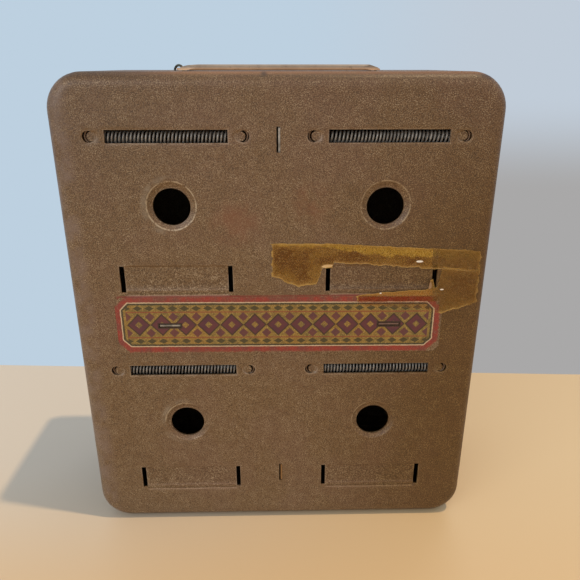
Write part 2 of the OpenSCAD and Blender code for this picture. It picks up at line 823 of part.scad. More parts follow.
front_shell();
upright_divider();
level_divider();
name_label();
guard_spring(0, 0);  // guard_spring_upper_left
guard_spring(1, 0);  // guard_spring_upper_right
guard_spring(0, 1);  // guard_spring_lower_left
guard_spring(1, 1);  // guard_spring_lower_right
rear_door();
lock_barrel();
lock_nut();
lock_plug();
lock_cam();
cam_screw();
case_leaf(hinge_z[0]);  // case_leaf_upper
case_leaf(hinge_z[1]);  // case_leaf_lower
door_leaf(hinge_z[0]);  // door_leaf_upper
door_leaf(hinge_z[1]);  // door_leaf_lower
hinge_pin(hinge_z[0]);  // hinge_pin_upper
hinge_pin(hinge_z[1]);  // hinge_pin_lower
color(bare_steel) each_case_rivet() rivet(sheet_t);  // case_rivets
color(bare_steel) each_door_rivet() rivet(door_t);  // door_rivets
carry_handle();
handle_loop(-1);  // handle_loop_left
handle_loop(1);  // handle_loop_right
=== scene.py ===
# %% [markdown]
# # A pressed-steel savings bank, piece by piece
#
# The real object is a box drawn from thin steel, painted with a brown wrinkle enamel. Its face
# carries four alike units: a coin slot guarded by a coil spring, a dished hole for rolled notes
# and a shallow seat for a name card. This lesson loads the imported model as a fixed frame, gives
# each carried-over piece a finish, and makes anew the pieces that deserve a finer surface.

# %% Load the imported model
import math

import bpy
import numpy as np
from mathutils import Matrix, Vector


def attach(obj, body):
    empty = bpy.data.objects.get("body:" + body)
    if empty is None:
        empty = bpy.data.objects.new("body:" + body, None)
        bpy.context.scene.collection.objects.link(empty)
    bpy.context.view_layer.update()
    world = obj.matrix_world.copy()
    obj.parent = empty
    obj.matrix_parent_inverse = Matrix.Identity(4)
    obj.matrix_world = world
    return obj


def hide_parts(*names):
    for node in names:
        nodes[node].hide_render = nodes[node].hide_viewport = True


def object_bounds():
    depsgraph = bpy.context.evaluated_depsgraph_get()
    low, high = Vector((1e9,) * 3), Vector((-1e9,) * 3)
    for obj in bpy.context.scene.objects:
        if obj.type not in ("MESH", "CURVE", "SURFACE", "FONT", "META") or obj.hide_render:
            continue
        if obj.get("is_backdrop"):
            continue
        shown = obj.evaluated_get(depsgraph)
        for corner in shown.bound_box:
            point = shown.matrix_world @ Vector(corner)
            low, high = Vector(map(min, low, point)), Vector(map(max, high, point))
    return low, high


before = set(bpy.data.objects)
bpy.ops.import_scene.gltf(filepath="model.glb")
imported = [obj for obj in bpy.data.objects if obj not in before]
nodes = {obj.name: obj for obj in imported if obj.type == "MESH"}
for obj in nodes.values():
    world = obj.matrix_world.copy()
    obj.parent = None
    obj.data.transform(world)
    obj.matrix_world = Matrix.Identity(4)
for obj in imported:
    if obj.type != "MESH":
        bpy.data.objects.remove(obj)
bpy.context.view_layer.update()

MM = 0.001
print("packed nodes:", len(nodes))

# %% [markdown]
# ## The camera
#
# The photograph was taken from close by, a little above the middle and about as high as the
# box, so its sides run together towards the table. A camera is placed by a position, a turn and
# a tilt. The lens is a little shorter than the sensor is wide, which gives the field of view
# measured from the box's outline.

# %% Camera
camera_place = (-0.31 * MM, -175.03 * MM, 138.3 * MM)
camera_tilt = math.radians(21.285)
camera_turn = math.radians(1.24)


def add_object(name, data):
    """An object at the scene's origin."""
    added = bpy.data.objects.new(name, data)
    bpy.context.scene.collection.objects.link(added)
    return added


camera_data = bpy.data.cameras.new("camera")
camera_data.sensor_width = 36.0
camera_data.lens = 35.75
camera_data.clip_start = 0.005
camera = add_object("camera", camera_data)
camera.location = camera_place
camera.rotation_euler = (math.pi / 2 - camera_tilt, 0.0, -camera_turn)
bpy.context.scene.camera = camera
bpy.context.scene.view_settings.view_transform = "Standard"
print("camera at", camera_place)

# %% [markdown]
# ## Short words for meshes
#
# Every new piece is a surface worked out with numpy as whole arrays: a grid of points, the quads
# between neighbours, and where the piece is sheet metal a second skin and the rims that join the
# two.

# %% Mesh helpers
def quads_of_grid(rows, columns, closed=False):
    """Quads between neighbouring points of a grid stored row by row. Each quad lists point
    (r, c), (r, c + 1), (r + 1, c + 1) and (r + 1, c); closed joins the last column to the first."""
    r = np.arange(rows - 1)[:, None]
    c = np.arange(columns if closed else columns - 1)[None, :]
    a, b = r * columns + c, r * columns + (c + 1) % columns
    return np.stack([a, b, b + columns, a + columns], -1).reshape(-1, 4)


def joining_rims(faces, size):
    """Quads that join a skin to the second one, whose points are numbered size higher, along the
    edges that only one face has."""
    sides = faces.shape[1]
    edges = np.concatenate([faces[:, [k, (k + 1) % sides]] for k in range(sides)])
    key = np.sort(edges, 1)
    _, first, count = np.unique(key, axis=0, return_index=True, return_counts=True)
    a, b = edges[first[count == 1]].T
    return np.stack([b, a, a + size, b + size], 1)


def make_piece(name, points, faces, finish, sharp):
    """Makes an object at the origin from points in millimetres and lists of point numbers.
    Edges that turn by more than sharp degrees keep a crease."""
    mesh = bpy.data.meshes.new(name)
    rows = [f for group in faces for f in np.asarray(group).tolist()]
    mesh.from_pydata((np.asarray(points) * MM).tolist(), [], rows)
    mesh.polygons.foreach_set("use_smooth", np.ones(len(mesh.polygons), bool))
    mesh.update()
    mesh.set_sharp_from_angle(angle=math.radians(sharp))
    mesh.materials.append(bpy.data.materials[finish])
    print(f"{name}: {len(mesh.vertices)} points, {len(mesh.polygons)} faces")
    return add_object(name, mesh)


def smooth_step(t):
    """Rises from 0 to 1 as t goes from 0 to 1, flat at both ends: 3 t squared less 2 t cubed."""
    t = np.clip(t, 0.0, 1.0)
    return t * t * (3.0 - 2.0 * t)

# %% [markdown]
# ## Short words for materials
#
# A finish is a small tree of nodes. Their outputs are wrapped as values, so a sum or a product
# of two masks is written as one and becomes a Math node. Places are read in millimetres.

# %% Values of a node tree
class Value:
    """An output of a node. Arithmetic on it adds Math nodes to its tree."""

    def __init__(self, sheet, socket):
        self.sheet, self.socket = sheet, socket

    def __add__(self, other):
        return self.sheet.math("ADD", self, other)

    def __sub__(self, other):
        return self.sheet.math("SUBTRACT", self, other)

    def __rsub__(self, other):
        return self.sheet.math("SUBTRACT", other, self)

    def __mul__(self, other):
        return self.sheet.math("MULTIPLY", self, other)

    def __truediv__(self, other):
        return self.sheet.math("DIVIDE", self, other)

    def __pow__(self, other):
        return self.sheet.math("POWER", self, other)

    def __abs__(self):
        return self.sheet.math("ABSOLUTE", self)

    def ramp(self, start, end, low=0.0, high=1.0, kind="SMOOTHSTEP"):
        """Goes softly from low to high as the value goes from start to end."""
        feeds = {0: self, 1: start, 2: end, 3: low, 4: high}
        return self.sheet.output(0, "ShaderNodeMapRange", feeds, interpolation_type=kind)

    def blend(self, low, high):
        """Goes evenly from low to high as the value goes from 0 to 1."""
        return self.ramp(0, 1, low, high, "LINEAR")


def most(a, b):
    """The larger of two values."""
    return a.sheet.math("MAXIMUM", a, b)


def least(a, b):
    """The smaller of two values."""
    return a.sheet.math("MINIMUM", a, b)


def distance(a, b):
    """The root of the sum of two squares."""
    return a.sheet.math("SQRT", a ** 2 + b ** 2)


def off(value, centre):
    """How far a value lies from a centre."""
    return abs(value - centre)


def near(value, centre, reach, sharp):
    """1 within sharp of a centre, falling to 0 at reach from it."""
    return off(value, centre).ramp(reach, sharp)

# %% Node trees
def plain(value):
    """A number as it is, and a colour, given by the 0 to 255 values that a picture shows, as a
    shader wants it."""
    if not isinstance(value, tuple) or len(value) == 4:
        return value
    shown = np.array(value) / 255
    line = np.where(shown <= 0.04045, shown / 12.92, ((shown + 0.055) / 1.055) ** 2.4)
    return (*line.tolist(), 1.0)


def socket_names(feeds):
    """Feeds by keyword, with a blank for each underline in a socket's name."""
    return {key.replace("_", " "): value for key, value in feeds.items()}


class Sheet:
    """A tree of shader nodes with its last one: a finish's shader or an effect's outputs."""

    def __init__(self, tree, kind):
        self.tree = tree
        self.last = self.node(kind)

    def feed(self, socket, value):
        if isinstance(value, Value):
            self.tree.links.new(value.socket, socket)
        else:
            socket.default_value = plain(value)

    def node(self, kind, feeds=(), **settings):
        """A new node with its settings, and with its inputs fed by number or name."""
        made = self.tree.nodes.new(kind)
        for key, value in settings.items():
            setattr(made, key, value)
        for key, value in dict(feeds).items():
            self.feed(made.inputs[key], value)
        return made

    def output(self, which, kind, feeds=(), **settings):
        """One output, by number or name, of a new node."""
        return Value(self, self.node(kind, feeds, **settings).outputs[which])

    def outputs(self, made):
        return {out.name: Value(self, out) for out in made.outputs}

    def math(self, operation, *values):
        return self.output(0, "ShaderNodeMath", dict(enumerate(values)), operation=operation)

    def mix(self, factor, a, b, kind="MIX"):
        """Colour a where factor is 0, and b (or for MULTIPLY a times b) where it is 1."""
        return self.output(2, "ShaderNodeMix", {0: factor, 6: a, 7: b}, data_type="RGBA",
                           blend_type=kind)

    def layers(self, tone, rows):
        """Mixes the colour of each row, a mask and a colour, over the tone."""
        for mask, paint in rows:
            tone = self.mix(mask, tone, paint)
        return tone

    def noise(self, place, size_mm, detail=2.0, rough=0.5):
        """Cloudy pattern from 0 to 1 whose blobs are about size_mm across."""
        return self.output(0, "ShaderNodeTexNoise", {
            "Vector": place, "Scale": 1 / (size_mm * MM), "Detail": detail, "Roughness": rough})

    def split(self, place):
        """The three parts of a place, in millimetres."""
        scaled = self.output(0, "ShaderNodeVectorMath", {0: place, "Scale": 1 / MM},
                             operation="SCALE")
        return list(self.outputs(self.node("ShaderNodeSeparateXYZ", {0: scaled})).values())

    def effect(self, name, **feeds):
        """The outputs of an effect, by name."""
        return self.outputs(self.node("ShaderNodeGroup", socket_names(feeds),
                                      node_tree=bpy.data.node_groups[name]))

    def fill(self, **feeds):
        """Feeds sockets of the sheet's last node."""
        for key, value in socket_names(feeds).items():
            self.feed(self.last.inputs[key], value)

    def dress(self, tone, roughness, height, strength, depth_mm, **others):
        """Feeds the shader: colour, roughness, a bump depth_mm deep, and any other socket."""
        bump = self.output(0, "ShaderNodeBump", {"Height": height, "Strength": strength,
                                                 "Distance": depth_mm * MM})
        self.fill(Base_Color=tone, Roughness=roughness, Normal=bump, **others)

# %% Effects and finishes
def new_effect(name, outputs, **inputs):
    """An empty node group. Its inputs are a place and the named ones, colours or numbers, and
    of its outputs only Colour is no number. Gives its sheet, the place and all the inputs."""
    group = bpy.data.node_groups.new(name, "ShaderNodeTree")

    def socket(key, side, kind):
        return group.interface.new_socket(key, in_out=side, socket_type="NodeSocket" + kind)

    socket("Place", "INPUT", "Vector")
    for key, value in socket_names(inputs).items():
        kind = "Color" if isinstance(value, tuple) else "Float"
        socket(key, "INPUT", kind).default_value = plain(value)
    for key in outputs:
        socket(key, "OUTPUT", "Color" if key == "Colour" else "Float")
    sheet = Sheet(group, "NodeGroupOutput")
    given = sheet.outputs(sheet.node("NodeGroupInput"))
    print("effect made:", name)
    return sheet, given["Place"], given


def new_finish(name):
    """A material with nothing in its tree but a shader and the output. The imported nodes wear
    materials named after their slots, and one of that name is written anew, so they show it.
    Gives its sheet, the place in Object coordinates and that place's three parts."""
    finish = bpy.data.materials.get(name) or bpy.data.materials.new(name)
    finish.use_nodes = True
    finish.node_tree.nodes.clear()
    sheet = Sheet(finish.node_tree, "ShaderNodeBsdfPrincipled")
    sheet.end = sheet.node("ShaderNodeOutputMaterial",
                           {"Surface": Value(sheet, sheet.last.outputs[0])})
    place = sheet.output("Object", "ShaderNodeTexCoord")
    print("finish made:", name)
    return sheet, place, sheet.split(place)

# %% [markdown]
# ## Wrinkle enamel
#
# The brown paint is a wrinkle enamel: while it dries in the oven its skin shrinks into fine soft
# creases. Its pale specks stand partly for dust and wear and partly, as painted highlights, for
# light glinting off the creases. The effect is a group, because the case, the door and the hinges
# all wear it. Noises of four grains give the mottling and the specks, scattered cells give the
# creases, and the height for a bump is a sum of them.

# %% Wrinkle enamel effect
sheet, place, given = new_effect(
    "wrinkle enamel", ["Colour", "Roughness", "Height"], Paint=(113, 86, 57), Deep=(70, 50, 31),
    Tint=(112, 83, 64), Speck=(166, 146, 118), Specks=0.95)
grain = sheet.noise(place, 0.24, 1.0)
fine = sheet.noise(place, 0.42, 2.0, 0.6)
coarse = sheet.noise(place, 3.2, 3.0, 0.55)
broad = sheet.noise(place, 17)
creases = sheet.output("Distance", "ShaderNodeTexVoronoi",
                       {"Vector": place, "Scale": 1 / (0.55 * MM)}, feature="SMOOTH_F1")
crowd = coarse.ramp(0.35, 0.65, 0.45, 1.0)
tone = sheet.mix(fine.ramp(0.2, 0.55), given["Deep"], given["Paint"])
tone = sheet.layers(tone, [
    (coarse.ramp(0.4, 0.7, 0.0, 0.55), given["Paint"]),
    (broad.ramp(0.4, 0.66, 0.0, 0.5), given["Tint"]),
    (grain.ramp(0.46, 0.33) * 0.85, given["Deep"]),
    # Pale specks: dust and wear, and painted highlights of light glinting off the creases.
    (grain.ramp(0.54, 0.66) * crowd * given["Specks"], given["Speck"])])
sheet.fill(Colour=tone, Roughness=fine.ramp(0.3, 0.7, 0.52, 0.38),
           Height=coarse * 0.8 + (creases * 0.5 + fine))

# %% [markdown]
# ## Drawn and rolled steel
#
# Bare steel on this bank is never bright all over: it is dulled by handling, browned in spots and
# a little gritty. The group gives a colour, a roughness and a height from blotchy noises of three
# grains.

# %% Dull steel effect
sheet, place, given = new_effect(
    "dull steel", ["Colour", "Roughness", "Height"], Bright=(176, 176, 172),
    Dull=(120, 118, 112), Rust=(104, 70, 48), Rust_amount=0.25)
blotch = sheet.noise(place, 2.4, 4.0, 0.6)
tone = sheet.mix(blotch.ramp(0.3, 0.7), given["Bright"], given["Dull"])
rust = sheet.noise(place, 1.1, 3.0, 0.6).ramp(0.5, 0.75) * given["Rust amount"]
sheet.fill(Colour=sheet.mix(rust, tone, given["Rust"]),
           Roughness=blotch.ramp(0.3, 0.7, 0.32, 0.5) + rust * 0.4,
           Height=sheet.noise(place, 0.3))

# %% [markdown]
# ## The case's paint
#
# On the face the enamel is mottled by age: reddish where something was once stuck on, and
# rubbed pale along the edges of the punched openings. Painted highlights lie on the dish rims,
# the tongues' lower edges, the seats' feet and the top edge, and a painted sheen on the left
# edge; painted shade lies in the seats' creases and is multiplied over broad parts of the face;
# a pale haze rings the left dishes. The masks follow the shape, so they are distances worked out
# from Object coordinates. The four units are alike, and the coordinates are folded onto one unit
# first: the sideways place is mirrored about the middle, and the height is counted from the
# unit's own coin slot.

# %% Sizes of the face
BOX_W, BOX_H, BOX_D, SHEET = 116.5, 137.0, 50.0, 0.6
FACE_Y = -BOX_D / 2
UNIT_X, ROW_PITCH, SLOT_Z = 28.4, 66.9, 121.6
HOLE_DROP, DISH_DROP, CARD_DROP = 18.2, 17.85, 38.4
CROSS_Z = 69.2
SLOT_HALF_L, SLOT_HALF_H = 15.55, 1.65
HOOK_X, WINDOW_SHIFT, WINDOW_R, TONGUE_R, TONGUE_PUSH = 18.8, 0.75, 1.5, 1.2, 0.35
HOLE_R, DISH_R, DISH_DEPTH = 5.0, 6.65, 0.8
SLIT_IN, SLIT_OUT, SLIT_TOP, SLIT_FOOT = 14.25, 15.55, -34.5, -42.3
SEAT_DEPTH, SEAT_FOOT, FLOOR_FOOT = 0.4, -43.4, -41.55
TAB_HALF_T, UPPER_TAB, LOWER_TAB, SIDE_TAB = 0.5, (117.55, 124.05), (14.35, 20.85), (28.15, 34.35)
print("a unit every", ROW_PITCH, "mm")

# %% Unit wear effect
sheet, place, given = new_effect(
    "unit wear", ["Rim", "Haze", "Edge", "Hook", "Foot light", "Foot dark"])
x, y, z = sheet.split(place)
u = abs(x) - UNIT_X
upper = sheet.math("GREATER_THAN", z, CROSS_Z)
v = z - (upper * ROW_PITCH + (SLOT_Z - ROW_PITCH))
from_hole = distance(u, v + DISH_DROP)
patchy = sheet.noise(place, 3.5).ramp(0.35, 0.65)
broken = sheet.noise(place, 1.1, 3.0, 0.7).ramp(0.36, 0.56)
left_more = x.ramp(5, -5, 0.6, 0.8)
low_right = (x - z).ramp(-76, -68, 1.0, 0.85)
up_left = u * x.ramp(-1, 1, 0.8, -0.8) + (v + HOLE_DROP)
lit_side = upper.blend(up_left.ramp(3.5, 7.5, 0.15, 1.3), 1.0)
# Painted highlight: a thin, broken pale arc on each dish's rim, on the side that faces the light in
# the upper units, a little stronger at the left.
rim = near(from_hole, DISH_R - 0.1, 0.3, 0.04)
haze = near(from_hole, DISH_R + 0.65, 1.3, 0.1)
sheet.fill(Rim=rim * broken * lit_side * left_more * low_right,
           Haze=haze * patchy * x.ramp(-25, -32))
slot_far = most(abs(u) - SLOT_HALF_L, abs(v) - SLOT_HALF_H)
slit_far = most(off(abs(u), (SLIT_IN + SLIT_OUT) / 2) - (SLIT_OUT - SLIT_IN) / 2,
                off(v, -CARD_DROP) - (SLIT_TOP - SLIT_FOOT) / 2)
from_window = distance(abs(u) - (HOOK_X + WINDOW_SHIFT), v)
window_edge = near(from_window, WINDOW_R + 0.12, 0.3, 0.05) * patchy
inward_u = HOOK_X - abs(u)
# Painted highlight on the lower, inward edge of each tongue; the pale ring round each window is
# wear.
tongue_edge = near(distance(inward_u, v), TONGUE_R + 0.2, 0.28, 0.03)
tongue_edge = tongue_edge * (inward_u - v).ramp(-0.2, 1.0)
sheet.fill(Edge=least(slot_far, slit_far).ramp(0.5, 0.05) * patchy,
           Hook=most(window_edge, tongue_edge))
wavy = v + (sheet.noise(place, 6) - 0.5) * 0.5
in_seat = abs(u).ramp(14.6, 13.6)
# Painted highlight on the up-facing slope of each seat's foot, and painted shade in the crease just
# above it.
sheet.fill(Foot_light=near(wavy, SEAT_FOOT + 0.25, 0.28, 0.04) * in_seat,
           Foot_dark=near(wavy, SEAT_FOOT + 0.8, 0.24, 0.04) * in_seat)

# %% Case paint
sheet, place, (x, y, z) = new_finish("case_paint")
enamel = sheet.effect("wrinkle enamel", Place=place)
wear = sheet.effect("unit wear", Place=place)


def spot(at_x, at_z, reach):
    """1 at a place on the face, falling to 0 at reach millimetres from it."""
    return distance(x - at_x, z - at_z).ramp(reach, 0.2 * reach)


ragged = sheet.noise(place, 4.0, 3.0, 0.6).ramp(0.3, 0.7)
front = y.ramp(-19.5, -22.5)
red_spots = most(spot(-11.6, 99.5, 9.0), spot(8.5, 104.5, 7.5)) * ragged
above_label = z.ramp(CROSS_Z + 9.4, CROSS_Z + 8.8) * z.ramp(CROSS_Z + 8, CROSS_Z + 8.4)
red_line = above_label * abs(x).ramp(46, 45) * ragged.ramp(0, 1, 0.65, 0.95)
tone = sheet.layers(enamel["Colour"], [
    (red_spots * 0.6, (122, 78, 54)),
    # Painted highlight on the dish rims, then a pale haze round the left dishes.
    (wear["Rim"] * 0.85, (196, 178, 150)),
    (wear["Haze"] * 0.4, (152, 140, 122)),
    # Pale wear at the openings' edges, with a painted highlight on the tongues' lower edges.
    (most(wear["Edge"], wear["Hook"]) * 0.5, (160, 138, 116)),
    # Painted highlight on the seats' feet and painted shade in the creases above them.
    (wear["Foot light"] * 0.4, (166, 142, 122)),
    (wear["Foot dark"] * 0.45, (70, 54, 32)),
    (red_line * front, (126, 50, 42)),
    # Painted highlight: a warm pale band along the top's rounded front edge, fading out towards the
    # left corner.
    (z.ramp(136.0, 136.7) * x.ramp(-48, -22, 0.0, 0.6) * front, (156, 110, 70)),
    # Painted sheen: a grey-pink reflection along the rounded left edge of the face.
    (x.ramp(-51, -54.5, 0.0, 0.5) * ragged * front, (132, 114, 106)),
    (spot(-3.5, 136.4, 1.1) * y.ramp(-21.5, -22.5, 0.0, 0.7), (58, 44, 34))])
# Painted shade, multiplied over the colour: darker and warmer towards the lower right, darker at
# the upper left, darker along the rounded top edge, and a little darker towards the top.
shades = [
    (x.ramp(0, 56) * z.ramp(135, 85, 0.28, 1.02), (0.65, 0.54, 0.31)),
    (x.ramp(-8, -50) * z.ramp(60, 130, 0.4, 1.0), (0.88, 0.88, 0.87)),
    (x.ramp(-20, -36) * z.ramp(134.4, 136) * front, (0.66, 0.62, 0.56)),
    (near(z, 135.85, 1.2, 0.1) * x.ramp(-42, 20) * front, (0.54, 0.46, 0.37)),
    (z.ramp(85, 135), (0.94, 0.94, 0.96))]
for mask, dim in shades:
    tone = sheet.mix(mask, tone, (*dim, 1.0), "MULTIPLY")
sheet.dress(tone, enamel["Roughness"], enamel["Height"], 0.55, 0.10,
            Specular_IOR_Level=z.ramp(136.3, 136.9, 0.45, 0.2))

# %% [markdown]
# ## The drawn box
#
# The box is one sheet: a flat face, rounded edges, four walls and a narrow lip at the rear. In
# the CAD its bends are flat facets, so it is made anew as one smooth skin. The face is a grid
# whose lines are crowded where something is pressed or cut. Every straight opening has lines on
# its edges, so cutting it means leaving out cells. Round openings sit in square blocks of the
# grid whose square rings are pulled round. The depth of dishes, seats and tongues is a
# formula of the place on the face.

# %% Lines of the face's grid
CRESCENT_END, WINDOW_SOLID, WINDOW_REACH, DISH_SOLID, DISH_REACH = 0.48, 1.9, 3.1, 7.0, 8.2
CORNER_R, EDGE_R, LIP_W = 9.5, 3.5, 5.0
FLAT_X = BOX_W / 2 - EDGE_R
ARC_R = CORNER_R - EDGE_R

window_rings = np.array([0.0, CRESCENT_END, 0.8, TONGUE_R, 1.3, WINDOW_R, WINDOW_SOLID, 2.4,
                         WINDOW_REACH])
dish_rings = np.array([*np.linspace(0.0, HOLE_R, 9), 5.25, 5.55, 5.85, 6.1, 6.25, 6.38, 6.5, 6.62,
                       6.74, 6.87, DISH_SOLID, 7.2, 7.6, DISH_REACH])


def both_ways(values):
    return np.concatenate([-np.asarray(values), np.asarray(values)])


def grid_lines(wanted, low, high, widest=1.7, nearest=0.05):
    """Sorted lines from low to high: the wanted ones, less those that nearly repeat one, plus
    evenly spread ones where two neighbours are further apart than widest."""
    kept = np.unique(np.round(np.concatenate([[low, high], wanted]), 4))
    kept = kept[(kept >= low) & (kept <= high)]
    kept = kept[np.concatenate([[True], np.diff(kept) > nearest])]
    gaps = np.diff(kept)
    parts = np.ceil(gaps / widest).astype(int)
    lines = [np.linspace(a, b, n, endpoint=False) for a, b, n in zip(kept[:-1], kept[1:], parts)]
    return np.concatenate(lines + [[high]])


unit_x_lines = np.concatenate([
    both_ways(dish_rings), both_ways(HOOK_X + both_ways(window_rings)), both_ways([SLOT_HALF_L]),
    both_ways([SLIT_IN, 14.45, 14.65, 14.9, 15.2, SLIT_OUT])])
unit_z_lines = np.concatenate([
    both_ways(window_rings), both_ways([SLOT_HALF_H, 1.8]), both_ways(dish_rings) - HOLE_DROP,
    [SLIT_TOP, -34.2, -34.35, -34.62, -34.78, -34.95], [SLIT_FOOT, -41.3, -41.5, -41.65, -41.9],
    [-42.7, -42.85, -43.0, -43.2, SEAT_FOOT]])
corner_lines = np.linspace(0.0, ARC_R, 7)
x_lines = grid_lines(np.concatenate(
    [unit_x_lines + UNIT_X, unit_x_lines - UNIT_X, both_ways(FLAT_X - corner_lines),
     both_ways([TAB_HALF_T]), both_ways(SIDE_TAB)]), -FLAT_X, FLAT_X)
z_lines = grid_lines(np.concatenate(
    [unit_z_lines + SLOT_Z, unit_z_lines + SLOT_Z - ROW_PITCH, EDGE_R + corner_lines,
     BOX_H - EDGE_R - corner_lines, UPPER_TAB, LOWER_TAB, CROSS_Z + both_ways([TAB_HALF_T])]),
    EDGE_R, BOX_H - EDGE_R)
print("face grid:", len(x_lines), "by", len(z_lines), "lines")

# %% Round openings and round corners
def pull_round(u, v, solid, reach):
    """Moves points so that square rings round the origin become circles. A point on the ring of
    half-width r goes to the circle of radius r, at an angle in proportion to its place along
    the side. The move is whole up to solid and fades out at reach."""
    ring = np.maximum(np.abs(u), np.abs(v))
    wide = np.abs(u) >= np.abs(v)
    radius = np.where(wide, u, v)
    ratio = np.where(wide, v, u) / np.where(radius == 0, 1.0, radius)
    angle = np.where(wide, ratio * math.pi / 4, math.pi / 2 - ratio * math.pi / 4)
    share = smooth_step((reach - ring) / (reach - solid))
    return u + share * (radius * np.cos(angle) - u), v + share * (radius * np.sin(angle) - v)


def shift_window(u, v, side):
    """Moves round rings about a tongue outward to rings about its window's centre. The way from
    the tongue's centre to the window's edge, at angle t from outward, is s cos t plus the root
    of R R - s s sin t sin t, but never less than just outside the tongue; rings between tongue
    and window share the move, and it fades out at the block's rim."""
    ring = np.hypot(u, v)
    safe = np.where(ring == 0, 1.0, ring)
    cos_t = side * u / safe
    edge = WINDOW_SHIFT * cos_t + np.sqrt(WINDOW_R ** 2 - WINDOW_SHIFT ** 2 * (1 - cos_t ** 2))
    edge = np.maximum(edge, TONGUE_R + 0.06)
    rise = np.clip((ring - TONGUE_R) / (WINDOW_R - TONGUE_R), 0, 1)
    share = rise * smooth_step((WINDOW_REACH - ring) / (WINDOW_REACH - WINDOW_R))
    scale = np.where(ring == 0, 1.0, (ring + share * (edge - WINDOW_R)) / safe)
    return u * scale, v * scale


def round_corner(x, z):
    """Moves the grid's square corners onto quarter circles: with a and b running from 0 to 1
    across a corner block, the point goes to a times the root of 1 - b b / 2, and the same with
    a and b exchanged."""
    core_x, core_low, core_high = FLAT_X - ARC_R, CORNER_R, BOX_H - CORNER_R
    a = np.clip((np.abs(x) - core_x) / ARC_R, 0, 1)
    b_signed = (z - np.clip(z, core_low, core_high)) / ARC_R
    b = np.abs(b_signed)
    in_corner = (a > 0) & (b > 0)
    new_x = np.sign(x) * (core_x + ARC_R * a * np.sqrt(1 - b * b / 2))
    new_z = np.clip(z, core_low, core_high) + ARC_R * b_signed * np.sqrt(1 - a * a / 2)
    return np.where(in_corner, new_x, x), np.where(in_corner, new_z, z)


grid_x, grid_z = np.meshgrid(x_lines, z_lines)
face_x, face_z = round_corner(grid_x, grid_z)
units = [(sx * UNIT_X, z0) for sx in (-1, 1) for z0 in (SLOT_Z, SLOT_Z - ROW_PITCH)]
for unit_x, unit_z in units:
    blocks = [(unit_x, unit_z - HOLE_DROP, DISH_SOLID, DISH_REACH, 0)]
    blocks += [(unit_x + s * HOOK_X, unit_z, WINDOW_SOLID, WINDOW_REACH, s) for s in (-1, 1)]
    for cx, cz, solid, reach, side in blocks:
        close = (np.abs(grid_x - cx) < reach) & (np.abs(grid_z - cz) < reach)
        u, v = pull_round(grid_x[close] - cx, grid_z[close] - cz, solid, reach)
        if side:
            u, v = shift_window(u, v, side)
        face_x[close], face_z[close] = cx + u, cz + v

# %% Depth of the pressed face
def box_distance(x, z, half_x, half_z, corner):
    """Signed distance to a rectangle with rounded corners: less than 0 inside it."""
    qx, qz = np.abs(x) - half_x + corner, np.abs(z) - half_z + corner
    outside = np.hypot(np.maximum(qx, 0), np.maximum(qz, 0))
    return outside + np.minimum(np.maximum(qx, qz), 0) - corner


def face_depth(x, z):
    """How far the sheet lies behind the face's plane. The dish falls off as 1 less the 1.35th
    power of the way from its hole to its rim, with a softened rim. A seat is a rounded
    rectangle whose foot comes back up in two steps. A tongue is a disc pushed in on the
    outward side, and the sheet rolls in a little at the edge of every punched opening."""
    depth = np.zeros_like(x)
    for unit_x, unit_z in units:
        u, v = x - unit_x, z - unit_z
        way = (np.hypot(u, v + DISH_DROP) - HOLE_R) / (DISH_R - HOLE_R)
        raw = DISH_DEPTH * (1 - np.maximum(way, 0) ** 1.35)
        depth += np.where(way < 1.7, (raw + np.hypot(raw, 0.06)) / 2, 0)
        for foot, corner, share in ((SEAT_FOOT, 1.2, 0.45), (FLOOR_FOOT, 0.9, 0.55)):
            step = box_distance(u, v - (SLIT_TOP + foot) / 2, SLIT_IN + 0.6,
                                (SLIT_TOP - foot) / 2 + 0.15, corner)
            depth += share * SEAT_DEPTH * smooth_step(-step / 0.42)
        for s in (-1, 1):
            ring = np.hypot(u - s * HOOK_X, v)
            outward_side = s * u - HOOK_X > -0.35 * ring
            push_end = np.where(outward_side, TONGUE_R + 0.15, TONGUE_R + 0.5)
            depth += TONGUE_PUSH * smooth_step((push_end - ring) / (push_end - TONGUE_R))
            edge = np.abs(np.hypot(u - s * (HOOK_X + WINDOW_SHIFT), v) - WINDOW_R)
            depth += 0.10 * np.exp(-(edge / 0.35) ** 2) * (ring > TONGUE_R + 0.15)
        slot = box_distance(u, v, SLOT_HALF_L, SLOT_HALF_H, 0.1)
        depth += 0.12 * np.exp(-(np.maximum(slot, 0) / 0.3) ** 2)
    return depth


# %% Cut the openings and fold the walls
def kept_cells(x, z):
    """True for the grid cells, given by their middles, that are metal and not an opening."""
    metal = np.ones(x.shape, bool)
    for unit_x, unit_z in units:
        u, v = x - unit_x, z - unit_z
        metal &= ~((np.abs(u) < SLOT_HALF_L) & (np.abs(v) < SLOT_HALF_H))
        slit = (np.abs(u) > SLIT_IN) & (np.abs(u) < SLIT_OUT)
        metal &= ~(slit & (v < SLIT_TOP) & (v > SLIT_FOOT))
        metal &= np.maximum(np.abs(u), np.abs(v + HOLE_DROP)) > HOLE_R
        for s in (-1, 1):
            w = HOOK_X - s * u
            ring = np.maximum(np.abs(w), np.abs(v))
            metal &= ~((ring < WINDOW_R) & (ring > TONGUE_R) & (w < CRESCENT_END))
    for across, along, (low, high) in ((x, z, UPPER_TAB), (x, z, LOWER_TAB),
                                       (z - CROSS_Z, np.abs(x), SIDE_TAB)):
        metal &= ~((np.abs(across) < TAB_HALF_T) & (along > low) & (along < high))
    return metal


